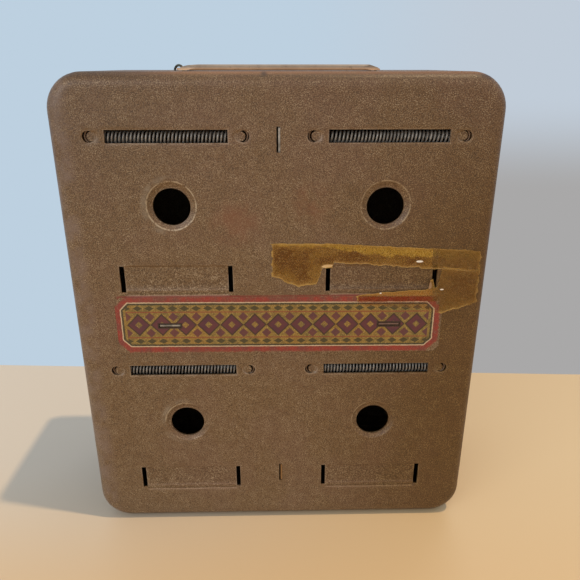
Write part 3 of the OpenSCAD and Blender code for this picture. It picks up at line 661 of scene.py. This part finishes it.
def wall_profile():
    """Distance outward from the flat face's rim, depth behind the face, and the two parts of
    the outward normal, along a cut through rounded edge, wall, rear bend and lip."""
    turn = np.linspace(0, math.pi / 2, 10)[1:]
    bend_r = 0.9
    edge = np.stack([EDGE_R * np.sin(turn), EDGE_R * (1 - np.cos(turn)), np.sin(turn),
                     -np.cos(turn)], 1)
    deep = np.linspace(EDGE_R, BOX_D - bend_r, 6)[1:]
    wall = np.stack([np.full(5, EDGE_R), deep, np.ones(5), np.zeros(5)], 1)
    turn = np.linspace(0, math.pi / 2, 5)[1:]
    bend = np.stack([EDGE_R - bend_r + bend_r * np.cos(turn),
                     BOX_D - bend_r + bend_r * np.sin(turn), np.cos(turn), np.sin(turn)], 1)
    reach = np.linspace(EDGE_R - bend_r, EDGE_R - LIP_W, 3)[1:]
    lip = np.stack([reach, np.full(2, BOX_D), np.zeros(2), np.ones(2)], 1)
    return np.concatenate([edge, wall, bend, lip])


rows, columns = grid_x.shape
number = np.arange(rows * columns).reshape(rows, columns)
loop = np.concatenate([number[0, :-1], number[:-1, -1], number[-1, :0:-1], number[:0:-1, 0]])
face_points = np.stack([face_x, FACE_Y + face_depth(face_x, face_z), face_z], -1).reshape(-1, 3)
rim = face_points[loop] * [1, 0, 1] + [0, FACE_Y, 0]
core = np.clip(rim, [ARC_R - FLAT_X, FACE_Y, CORNER_R], [FLAT_X - ARC_R, FACE_Y, BOX_H - CORNER_R])
outward = (rim - core) / np.linalg.norm(rim - core, axis=1, keepdims=True)
cut, back = wall_profile()[:, None], np.array([0, 1, 0])
wall_points = (rim + outward * cut[..., :1] + back * cut[..., 1:2]).reshape(-1, 3)
wall_normal = (outward * cut[..., 2:3] + back * cut[..., 3:]).reshape(-1, 3)
outer = np.concatenate([face_points, wall_points])
inner = np.concatenate([face_points + [0, SHEET, 0], wall_points - SHEET * wall_normal])

middle_x = (x_lines[:-1] + x_lines[1:]) / 2
middle_z = (z_lines[:-1] + z_lines[1:]) / 2
metal = kept_cells(*np.meshgrid(middle_x, middle_z)).ravel()
face_cells = quads_of_grid(rows, columns)[metal]
ring_number = np.concatenate([loop[None], rows * columns
                              + np.arange(len(wall_points)).reshape(len(cut), -1)])
before, after = ring_number, np.roll(ring_number, -1, 1)
wall_cells = np.stack([before[:-1], before[1:], after[1:], after[:-1]], -1).reshape(-1, 4)
outer_cells = np.concatenate([face_cells, wall_cells])
used, compact = np.unique(outer_cells, return_inverse=True)
outer_cells = compact.reshape(-1, 4)
outer, inner = outer[used], inner[used]
drawn_box = make_piece("drawn_box", np.concatenate([outer, inner]),
                       [outer_cells, outer_cells[:, ::-1] + len(outer),
                        joining_rims(outer_cells, len(outer))], "case_paint", 55.0)
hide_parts("front_shell")
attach(drawn_box, "case")

# %% [markdown]
# ## Guard springs
#
# Behind each coin slot lies a coil spring of thin dull wire. It bends aside for a coin pushed in
# and closes behind it. Both ends are loops hooked round the tongues. A spring is a wire swept
# along a path: half a turn round the left tongue, the close curls, which sag a little between
# the tongues, and the same again on the right. The real number of curls is wound here, which is
# more than the construction model holds.

# %% Spring wire finish
sheet, place, (x, y, z) = new_finish("spring_steel")
steel = sheet.effect("dull steel", Place=place, Bright=(150, 145, 138),
                     Dull=(104, 99, 93), Rust=(108, 78, 60), Rust_amount=0.35)
painted = off(abs(x), UNIT_X).ramp(17.0, 17.6, 0.0, 0.85)
above = SLOT_HALF_H + 0.05
high = least(off(z, SLOT_Z + above), off(z, SLOT_Z - ROW_PITCH + above))
# Painted shade: the top of each spring, just under the slot's upper edge, is darkened where the
# face's sheet shades it.
slot_shadow = high.ramp(0.7, 0.3, 0.0, 0.85)
tone = sheet.mix(slot_shadow, steel["Colour"], (30, 24, 18))
tone = sheet.mix(painted, tone, (112, 82, 56))
sheet.dress(tone, steel["Roughness"], steel["Height"], 0.2, 0.03,
            Metallic=(1 - most(painted, slot_shadow)) * 0.3)

# %% Spring shape
COIL_LEN, WIRE_R, COIL_R, LOOP_R, SAG = 33.5, 0.255, 1.625, 1.8, 0.45
HOOK_DEPTH, COIL_DEPTH = 0.975, 2.6
CURLS, RINGS_A_CURL, WIRE_SIDES = 35, 20, 8


def hook_path(drop, steps=16):
    """Left end loop in the plane of the hooks: from its free end over the tongue, half a turn
    round it, and back under it to the coil, where a quarter of an oval brings it onto the
    curls, whose axis hangs lower than the tongue by drop."""
    start = -COIL_LEN / 2
    legs = np.linspace(start - LOOP_R / 2, -HOOK_X, 4, endpoint=False)
    free = np.stack([legs, np.full(4, LOOP_R)], 1)
    turn = np.linspace(0.5, 1.5, steps) * math.pi
    bow = np.stack([-HOOK_X + LOOP_R * np.cos(turn), LOOP_R * np.sin(turn)], 1)
    last = np.linspace(-0.5, 0, 6, endpoint=False) * math.pi
    quarter = np.stack([start - LOOP_R + LOOP_R * np.cos(last),
                        (LOOP_R - drop) * np.sin(last) - drop], 1)
    flat = np.concatenate([free, bow, quarter])
    return np.stack([flat[:, 0], np.full(len(flat), HOOK_DEPTH), flat[:, 1]], 1)


def curl_path(lean, bunch):
    """The helix: at angle t the wire stands COIL_R from the axis, in front of it at t = 0, and
    moves on by one pitch a turn. lean tips each curl, and bunch crowds the pitch to one end."""
    turn = np.linspace(0, 1, CURLS * RINGS_A_CURL + 1)
    angle = turn * CURLS * 2 * math.pi
    ahead = turn + bunch * np.sin(2 * math.pi * turn) / (2 * math.pi)
    ends = smooth_step(turn * CURLS / 2) * smooth_step((1 - turn) * CURLS / 2)
    x = COIL_LEN * (ahead - 0.5) + ends * lean * COIL_R * np.sin(angle)
    return np.stack([x, COIL_DEPTH - COIL_R * np.cos(angle), COIL_R * np.sin(angle) - SAG], 1)


def sweep(path, outward, radius, sides):
    """A closed tube: at each point of the path a ring of the given radius, in the plane across
    the path, whose first corner looks along outward; a point on the path closes each end."""
    along = np.gradient(path, axis=0)
    along /= np.linalg.norm(along, axis=1, keepdims=True)
    side = np.cross(along, outward)
    side /= np.linalg.norm(side, axis=1, keepdims=True)
    up = np.cross(side, along)
    angle = np.arange(sides) * 2 * math.pi / sides
    rings = path[:, None] + radius * (np.cos(angle)[None, :, None] * up[:, None]
                                      + np.sin(angle)[None, :, None] * side[:, None])
    caps = np.stack([path[0] - along[0] * radius * 0.5, path[-1] + along[-1] * radius * 0.5])
    points = np.concatenate([rings.reshape(-1, 3), caps])
    last, count = (len(path) - 1) * sides, len(path) * sides
    k = np.arange(sides)
    first_fan = np.stack([np.full(sides, count), (k + 1) % sides, k], 1)
    last_fan = np.stack([np.full(sides, count + 1), last + k, last + (k + 1) % sides], 1)
    return points, [quads_of_grid(len(path), sides, closed=True), first_fan, last_fan]


def guard_spring(lean, bunch):
    left = hook_path(SAG)
    right = hook_path(-SAG)[::-1] * [-1, 1, -1]
    curls = curl_path(lean, bunch)
    path = np.concatenate([left, curls, right])
    radial = curls - [0, COIL_DEPTH, -SAG]
    radial[:, 0] = 0
    flat = np.broadcast_to([0.0, -1.0, 0.0], left.shape)
    outward = np.concatenate([flat, radial / COIL_R, flat])
    return sweep(path, outward, WIRE_R, WIRE_SIDES)


springs = {"upper_left": (0.06, 0.0), "upper_right": (0.08, 0.06),
           "lower_left": (0.04, 0.0), "lower_right": (-0.06, -0.05)}
for corner, (lean, bunch) in springs.items():
    points, faces = guard_spring(lean, bunch)
    unit_x = -UNIT_X if "left" in corner else UNIT_X
    unit_z = SLOT_Z if "upper" in corner else SLOT_Z - ROW_PITCH
    spring = make_piece(f"wound_spring_{corner}", points + [unit_x, FACE_Y, unit_z], faces,
                        "spring_steel", 80.0)
    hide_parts(f"guard_spring_{corner}")
    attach(spring, "case")

# %% [markdown]
# ## The printed label
#
# A paper label, varnished, is stuck across the middle: a red border, a thin cream line, a dark
# keyline and a mottled gold ground. The ornament on it is generic: rows of maroon and
# olive lozenges. All of it is drawn by distances in the material, so it stays crisp at any
# size. The distance inward from the cut-cornered outline gives the border's bands.

# %% Label print
LABEL_W, LABEL_H = 92.6, 17.4
PRINT_LEFT, PRINT_UP, PRINT_TURN = 0.45, 0.17, 0.0038
sheet, place, (x, y, z) = new_finish("label_print")
u = abs(x + PRINT_LEFT)
z_up = x * PRINT_TURN + (z - (CROSS_Z + PRINT_UP))
v = abs(z_up)
row_end = u.ramp(43.1, 42.9)


def inward(half_w, half_h, cut):
    """Distance inward from a rectangle with cut corners, in millimetres."""
    corner = (half_w + half_h - cut) - (u + v)
    return least(least(half_w - u, half_h - v), corner * math.sqrt(0.5))


def inside_of(depth, soft=0.07):
    """1 where the depth is above 0, with an edge soft millimetres wide."""
    return depth.ramp(-soft, soft)


def lozenges(across, v_at, pitch, half_u, half_v):
    """A row of lozenges pitch apart: 1 less the sum of the two shares of the half-lengths is
    above 0 inside each one. The share across comes from the place folded into one pitch."""
    fold = across.sheet.math("PINGPONG", across + pitch / 2, pitch / 2)
    left = 1 - ((pitch / 2 - fold) / half_u + v_at / half_v)
    return left.ramp(-0.04, 0.04) * row_end


wobble = (sheet.noise(place, 0.5) - 0.5) * 0.3
half_w, half_h = LABEL_W / 2, LABEL_H / 2
frame_in = inward(half_w - 1.75, half_h - 1.75, 2.2) + wobble
cream = inside_of(frame_in)
key = inside_of(frame_in - 0.3)
ground = inside_of(frame_in - 0.85)
print("label print:", LABEL_W, "by", LABEL_H, "mm")

# %% Label colours
enamel = sheet.effect("wrinkle enamel", Place=place)
red_patch = sheet.noise(place, 2.2, 3.0, 0.6).ramp(0.35, 0.7)
rubbed = inward(half_w, half_h, 3.4) + wobble * 3
red = sheet.layers(sheet.mix(red_patch, (142, 48, 39), (114, 52, 48)), [
    (rubbed.ramp(0.45, -0.2), enamel["Colour"]),
    (z_up.ramp(6, 8.7, 0.0, 0.3) * red_patch, enamel["Colour"])])
gold_patch = sheet.noise(place, 1.3, 4.0, 0.65).ramp(0.3, 0.7)
grit = sheet.noise(place, 0.3, 2.0, 0.6)
gold = sheet.layers(sheet.mix(gold_patch, (102, 86, 48), (146, 119, 54)), [
    (sheet.noise(place, 9).ramp(0.4, 0.7, 0.0, 0.5), (160, 116, 44)),
    (grit.ramp(0.48, 0.34, 0.0, 0.5), (84, 64, 34)),
    (grit.ramp(0.54, 0.68, 0.0, 0.55), (196, 164, 104))])
maroon = sheet.mix(red_patch, (98, 48, 54), (84, 44, 58))
olive, outline = (60, 54, 34), (54, 36, 32)

print_tone = sheet.layers(gold, [
    (inside_of(0.16 - off(v, 3.95)) * row_end * 0.8, (134, 58, 42)),
    (lozenges(u, off(v, 5.1), 3.3, 1.35, 0.8) * 0.9, olive),
    (lozenges(u, v, 6.6, 3.3, 3.5) * 0.95, outline),
    (lozenges(u, v, 6.6, 2.85, 2.95) * 0.9, maroon),
    (lozenges(u, v, 6.6, 1.05, 1.05) * 0.9, gold),
    (lozenges(u + 3.3, off(v, 2.5), 6.6, 1.4, 1.4) * 0.9, maroon)])
tab_far = most(off(abs(x), sum(SIDE_TAB) / 2) - (SIDE_TAB[1] - SIDE_TAB[0]) / 2,
               off(z, CROSS_Z) - TAB_HALF_T)
lit = grit.ramp(0.52, 0.7, 0.0, 0.4) * (1 - ground)
tone = sheet.layers(red, [
    (cream, (198, 174, 142)), (key, olive), (ground, print_tone),
    (tab_far.ramp(0.45, 0.3), outline), (lit, (160, 134, 102))])
sheet.dress(tone, gold_patch.ramp(0, 1, 0.38, 0.55), sheet.noise(place, 0.5, 3.0, 0.6),
            0.3, 0.06)

# %% [markdown]
# ## Old adhesive tape
#
# A strip of once clear tape has yellowed over the face, a card seat and the label's corner. It is
# thin and torn, lies in two strands that meet in a broad end at the right, and lifts a little at
# its edges. Each strand is a ribbon: a surface whose one parameter runs along the tape and whose
# other runs between an upper and a lower edge line.

# %% Tape finish
sheet, place, (x, y, z) = new_finish("old_tape")


def glint(at_x, at_z, half_w, half_h, height=z):
    """A small lying oval: 1 at its middle and 0 outside it."""
    oval = (off(x, at_x) / half_w) ** 2 + (off(height, at_z) / half_h) ** 2
    return oval.ramp(1, 0.5)


blotch = sheet.noise(place, 5.6).ramp(0.38, 0.6)
specks = sheet.noise(place, 0.26, 1.0)
grain = specks.ramp(0.5, 0.7)
edge = sheet.output("Fac", "ShaderNodeAttribute", attribute_name="edge")
under = x * -0.043 + 93.3 - z
ragged = (sheet.noise(place, 3.0, 3.0) - 0.5) * 3
golden = (under + ragged - x.ramp(14, 27, 0.4, 2.2)).ramp(0.4, -0.4) * x.ramp(46, 41, 0.45, 0.85)
right = x.ramp(41.5, 45)
on_left = 1 - right
on_label = z.ramp(CROSS_Z + 8.8, CROSS_Z + 8.3)
on_print = x.ramp(45.6, 45.0) * z.ramp(CROSS_Z + 7.2, CROSS_Z + 6.8)
# Painted highlight along the tape's lifted edges, weaker at its right end.
lifted_edge_highlight = edge.ramp(0.45, 0.9, 0.0, 0.65) * x.ramp(50, 54.5, 1.0, 0.35)
# Painted highlights: pale spots where the tape curls, at two places, and painted glints (shine) off
# its wrinkles.
curl = glint(13.2, 86.9, 1.8, 0.5, x * -0.12 + (z + 1.6))
small_curl = glint(42.2, 80.9, 0.6, 1.25)
shine = glint(38.7, 88.0, 1.1, 0.35)
for at_x, at_z, half_x in ((45.6, 79.7, 0.6), (28.4, 78.7, 0.35)):
    shine = most(shine, glint(at_x, at_z, half_x, 0.22))
tone = sheet.layers(sheet.mix(blotch, (98, 56, 4), (140, 98, 36)), [
    (golden, (184, 142, 48)),
    (off(z, CROSS_Z + 9.7).ramp(1.1, 0.6, 0.0, 0.7) * on_left, (178, 122, 56)),
    (on_label * on_left, (136, 40, 10)),
    (right * 0.5, (122, 84, 42)),
    (specks.ramp(0.5, 0.34) * golden.blend(0.25, 0.75), (92, 58, 16)),
    (grain * 0.34, (196, 162, 92)),
    (edge.ramp(0.02, 0.4, 0.0, 0.4), (160, 118, 54)),
    (lifted_edge_highlight, (200, 162, 92)),
    (curl * 0.85, (216, 180, 128)),
    (small_curl * 0.8, (156, 126, 100)),
    (shine, (240, 232, 220))])
alpha = blotch.ramp(0, 1, 0.85, 0.66) * most(right, on_label).ramp(0, 1, 1.0, 0.68)
for mask, share in ((lifted_edge_highlight, 0.95), (shine, 1.0), (most(curl, small_curl), 1.0),
                    (golden, 0.85)):
    alpha = most(alpha, mask * share)
gap = near(x, 42.9, 1.0, 0.6) * z.ramp(85, 87)
alpha = alpha * on_print.ramp(0, 1, 1.0, 0.2) * gap.ramp(0, 1, 1.0, 0.4)
sheet.dress(tone, grain.blend(0.22, 0.42), sheet.noise(place, 1.6, 3.0, 0.6), 0.5, 0.15,
            Alpha=alpha)

# %% Tape shape
TAPE_T = 0.06
LABEL_TOP, LABEL_T = CROSS_Z + LABEL_H / 2, 0.15


def ragged_line(along, corners, tear, seed):
    """A line through a few corners, given as (place along, height), roughened by a sum of
    sines whose waves are from 1 to 7 mm long and whose start is drawn from seed."""
    corners = np.asarray(corners)
    line = np.interp(along, corners[:, 0], corners[:, 1])
    start = np.random.default_rng(seed).uniform(0, 2 * math.pi, 6)
    waves = np.array([7.1, 4.3, 2.9, 1.9, 1.3, 0.9])
    rough = np.sin(2 * math.pi * along[:, None] / waves + start) * waves ** 0.6
    return line + tear * rough.sum(1) / 6


def tape_ribbon(upper, lower, low_x, high_x, seed, lift):
    """Front points of a strand, its distance to the nearest edge line from 0 inside to 1 on
    the edge, and its grid's shape. It follows the face and the label and ripples gently."""
    along = np.linspace(low_x, high_x, int((high_x - low_x) / 0.35))
    across = np.concatenate([[0, 0.02, 0.05], np.linspace(0.1, 0.9, 13), [0.95, 0.98, 1]])
    top = ragged_line(along, upper, 0.10, seed)
    foot = ragged_line(along, lower, 0.22, seed + 1)
    z = foot[:, None] + (top - foot)[:, None] * across
    x = np.broadcast_to(along[:, None], z.shape).copy()

    def near_ends(reach):
        return smooth_step((x - high_x + reach) / reach), smooth_step((low_x + reach - x) / reach)

    side_tear = 0.25 * np.sin(z * 2.1 + seed) + 0.15 * np.sin(z * 5.3)
    x += side_tear * sum(near_ends(2))
    on_label = smooth_step((LABEL_TOP + 0.6 - z) / 0.8) * (np.abs(x) < LABEL_W / 2 + 0.5)
    ripple = 0.05 * (1 + np.sin(x * 0.9 + z * 0.7 + seed)) + 0.03 * (1 + np.sin(x * 2.3 - z * 1.7))
    rim = np.abs(2 * across - 1)[None, :] ** 6 * np.ones_like(z)
    rim = np.maximum(rim, np.maximum(*near_ends(0.8)))
    y = FACE_Y - 0.03 - LABEL_T * on_label - ripple - lift * rim
    return np.stack([x, y, z], -1), rim, z.shape


strands = [
    tape_ribbon([(-2, 93.4), (14, 93.3), (33, 92.2), (57.5, 90.9)],
                [(-2, 83.9), (0, 83.5), (2.3, 81.7), (5.5, 81.1), (10.2, 81.4), (11.6, 85.0),
                 (11.8, 86.3), (14.6, 86.6), (14.9, 87.7), (22, 87.5), (33, 86.6), (45, 85.7),
                 (57.5, 84.6)],
                -2.0, 55.5, 3, 0.10),
    tape_ribbon([(21.5, 77.6), (23, 78.3), (30, 79.0), (41.8, 79.8), (42.0, 82.4), (43.0, 82.8),
                 (43.4, 80.2), (44.4, 80.5), (45.2, 86.4), (57.5, 85.2)],
                [(21.5, 75.2), (28.5, 74.7), (40, 74.0), (43, 72.9), (46, 72.6), (50, 73.6),
                 (54, 75.1), (57, 76.4)],
                21.8, 55.7, 11, 0.08)]
points, faces, rims, count = [], [], [], 0
for front, rim, shape in strands:
    front = front.reshape(-1, 3)
    cells = quads_of_grid(*shape)
    size = len(front)
    points += [front, front + [0, TAPE_T, 0]]
    faces += [cells[:, ::-1] + count + size, cells + count, joining_rims(cells, size) + count]
    rims += [rim.ravel(), rim.ravel()]
    count += 2 * size
tape = make_piece("old_tape_strip", np.concatenate(points), faces, "old_tape", 60.0)
edge_layer = tape.data.attributes.new("edge", "FLOAT", "POINT")
edge_layer.data.foreach_set("value", np.concatenate(rims).astype(np.float32))
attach(tape, "case")

# %% [markdown]
# ## Finishes of the carried-over pieces
#
# The door, hinges, lock, dividers and handle keep their construction shapes. Each gets a finish of
# its own: enamel like the case's on the door and hinges, a smoother, paler one on the handle,
# bare or rusted steel at the dividers' tabs, and dull plated or brassy metal on the lock.

# %% Enamel on door, hinges and handle
sheet, place, (x, y, z) = new_finish("door_paint")
enamel = sheet.effect("wrinkle enamel", Place=place, Specks=0.8)
FIELD_HALF_W, FIELD_HALF_H = 32.6, 51.6
field = most(abs(x) - FIELD_HALF_W, off(z, BOX_H / 2) - FIELD_HALF_H)
rub = abs(field).ramp(0.7, 0.0) * sheet.noise(place, 5.0, 3.0, 0.6).ramp(0.4, 0.7)
tone = sheet.mix(rub * 0.5, enamel["Colour"], (158, 134, 102))
sheet.dress(tone, enamel["Roughness"], enamel["Height"], 0.5, 0.10)

sheet, place, (x, y, z) = new_finish("hinge_paint")
enamel = sheet.effect("wrinkle enamel", Place=place, Paint=(104, 78, 55), Specks=0.5)
steel = sheet.effect("dull steel", Place=place, Rust_amount=0.6)
worn = x.ramp(58.9, 61.2) * sheet.noise(place, 1.6, 3.0, 0.6).ramp(0.42, 0.6)
sheet.dress(sheet.mix(worn, enamel["Colour"], steel["Colour"]), enamel["Roughness"],
            enamel["Height"], 0.35, 0.07, Metallic=worn * 0.7)

sheet, place, (x, y, z) = new_finish("handle_paint")
clouds = sheet.noise(place, 4.0, 3.0, 0.55).ramp(0.3, 0.7)
bright = sheet.mix(clouds, (238, 194, 152), (218, 174, 136))
dull = sheet.mix(clouds, (162, 146, 130), (138, 122, 108))
# Painted shade and light: the handle's top is darker and its lower part paler, standing in for how
# the light falls on the strap.
tone = sheet.mix(z.ramp(138.15, 137.4), dull, bright)
chips = sheet.noise(place, 0.8, 3.0, 0.6).ramp(0.62, 0.68)
tone = sheet.mix(chips * 0.4, tone, (112, 88, 70))
sheet.dress(tone, clouds.ramp(0, 1, 0.34, 0.46), sheet.noise(place, 0.5, 2.0, 0.6), 0.25, 0.05)

# %% Steel, plate and brass
sheet, place, (x, y, z) = new_finish("divider_steel")
enamel = sheet.effect("wrinkle enamel", Place=place, Paint=(92, 74, 58), Specks=0.3)
steel = sheet.effect("dull steel", Place=place, Bright=(186, 182, 176), Rust_amount=0.3)
tab = y.ramp(FACE_Y + 0.9, FACE_Y + 0.7)
bare = z.ramp(30, 60)
browned = x.ramp(20, 25, 0.0, 0.75) * near(z, CROSS_Z, 5, 3)
tab_tone = sheet.mix(browned, steel["Colour"], (112, 78, 70))
tab_tone = sheet.mix(bare, (134, 96, 56), tab_tone)
sheet.dress(sheet.mix(tab, enamel["Colour"], tab_tone), steel["Roughness"], enamel["Height"],
            0.2, 0.05, Metallic=tab * bare * 0.5)

for name, bright, dull, rust, rust_amount, metallic, bump in (
        ("pin_steel", (170, 168, 162), (126, 122, 114), (106, 72, 48), 0.4, 0.8, 0.2),
        ("rivet_steel", (150, 144, 134), (112, 104, 94), (104, 72, 50), 0.5, 0.7, 0.25),
        ("lock_steel", (196, 194, 186), (150, 148, 140), (120, 96, 66), 0.25, 0.9, 0.15),
        ("lock_brass", (200, 164, 92), (152, 116, 60), (92, 66, 36), 0.5, 0.9, 0.15),
        ("loop_wire", (104, 108, 98), (74, 76, 68), (84, 62, 44), 0.5, 0.6, 0.25)):
    sheet, place, _ = new_finish(name)
    steel = sheet.effect("dull steel", Place=place, Bright=bright, Dull=dull, Rust=rust,
                         Rust_amount=rust_amount)
    sheet.dress(steel["Colour"], steel["Roughness"], steel["Height"], bump, 0.03,
                Metallic=metallic)

# %% What each carried-over node wears
for node_name, carried in nodes.items():
    print(node_name, "wears", [holder.material.name for holder in carried.material_slots])

# %% [markdown]
# ## Table, wall and light
#
# The bank stands on a pale table in front of a pale wall. Both are plain sheets marked as stage.
# The table's colour carries painted warm light towards its right and front, and the wall a
# painted shadow at its lower right.
# The wall glows in its own colour, and only for camera and glossy rays, so that no extra light
# falls on the object. Seen from its rear it isn't there, so the bank can be looked at from
# behind. One high warm lamp from the right gives the sharp shadow and rakes the face, a
# broad cool one from the front left fills it, and a weak one lights the rear.

# %% Table and wall
sheet, place, (x, y, z) = new_finish("table_paint")
# Painted light: the table is neutral grey at the left back and turns warmer towards the right and
# the front, where the warm lamp's light falls.
tone = sheet.mix(x.ramp(-70, 70), (200, 191, 178), (210, 186, 147))
tone = sheet.mix(y.ramp(10, -90), tone, (211, 180, 135))
sheet.dress(tone, 0.45, sheet.noise(place, 0.8), 0.1, 0.05)

sheet, place, (x, y, z) = new_finish("wall_paint")
right = x.ramp(0, 90)
tone = sheet.mix(right, (189, 208, 224), (193, 204, 216))
# Painted shadow: the wall is greyer and darker at its lower right.
tone = sheet.mix(right * z.ramp(128, 88), tone, (169, 168, 168))
path = sheet.outputs(sheet.node("ShaderNodeLightPath"))
front_side = 1 - sheet.output("Backfacing", "ShaderNodeNewGeometry")
seen = most(path["Is Camera Ray"], path["Is Glossy Ray"]) * front_side
clear = sheet.output(0, "ShaderNodeBsdfTransparent")
glow = sheet.output(0, "ShaderNodeEmission", {"Color": tone})
sheet.feed(sheet.end.inputs["Surface"],
           sheet.output(0, "ShaderNodeMixShader", {0: seen, 1: clear, 2: glow}))

REACH, TABLE_Z = 1500.0, -0.02
WALL_LEFT_Y, WALL_RIGHT_Y, WALL_FOOT, WALL_TOP = 155.5, -9.5, -10.0, 1600.0
table = [(-REACH, -REACH, TABLE_Z), (REACH, -REACH, TABLE_Z), (REACH, REACH, TABLE_Z),
         (-REACH, REACH, TABLE_Z)]
wall = [(-REACH, WALL_LEFT_Y, WALL_FOOT), (REACH, WALL_RIGHT_Y, WALL_FOOT),
        (REACH, WALL_RIGHT_Y, WALL_TOP), (-REACH, WALL_LEFT_Y, WALL_TOP)]
for name, corners in (("table", table), ("wall", wall)):
    made = make_piece(name, corners, [[(0, 1, 2, 3)]], name + "_paint", 50.0)
    made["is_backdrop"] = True

# %% Lamps and world
def add_lamp(name, kind, power, tint, place, target, **settings):
    """Puts a lamp at place that shines on target: its own Z axis points away from it."""
    data = bpy.data.lights.new(name, kind)
    for key, value in {"energy": power, "color": tint, **settings}.items():
        setattr(data, key, value)
    away = np.subtract(place, target)
    away /= np.linalg.norm(away)
    side = np.cross([0.0, 0.0, 1.0], away)
    side /= np.linalg.norm(side)
    turned = Matrix(np.stack([side, np.cross(away, side), away], 1).tolist()).to_4x4()
    lamp = add_object(name, data)
    lamp.matrix_world = Matrix.Translation(place) @ turned
    print("lamp:", name)


COOL = (0.93, 0.97, 1.0)
add_lamp("high_lamp", "SUN", 1.55, (1.0, 0.72, 0.42), (0.2875, -0.0621, 0.956), (0, 0, 0),
         angle=math.radians(1.5))
for name, power, place in (("front_fill", 7.0, (-0.75, -0.95, 0.62)),
                           ("rear_fill", 2.8, (0.5, 1.1, 0.7))):
    add_lamp(name, "AREA", power, COOL, place, (0, 0, 0.07), size=0.9)

world = bpy.data.worlds.new("room")
bpy.context.scene.world = world
world.use_nodes = True
background = next(n for n in world.node_tree.nodes if n.type == "BACKGROUND")
background.inputs["Color"].default_value = (*COOL, 1.0)
background.inputs["Strength"].default_value = 0.55

# %% Print the visual box
low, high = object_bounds()
print("visual box:", [round(v, 4) for v in (*low, *high)])
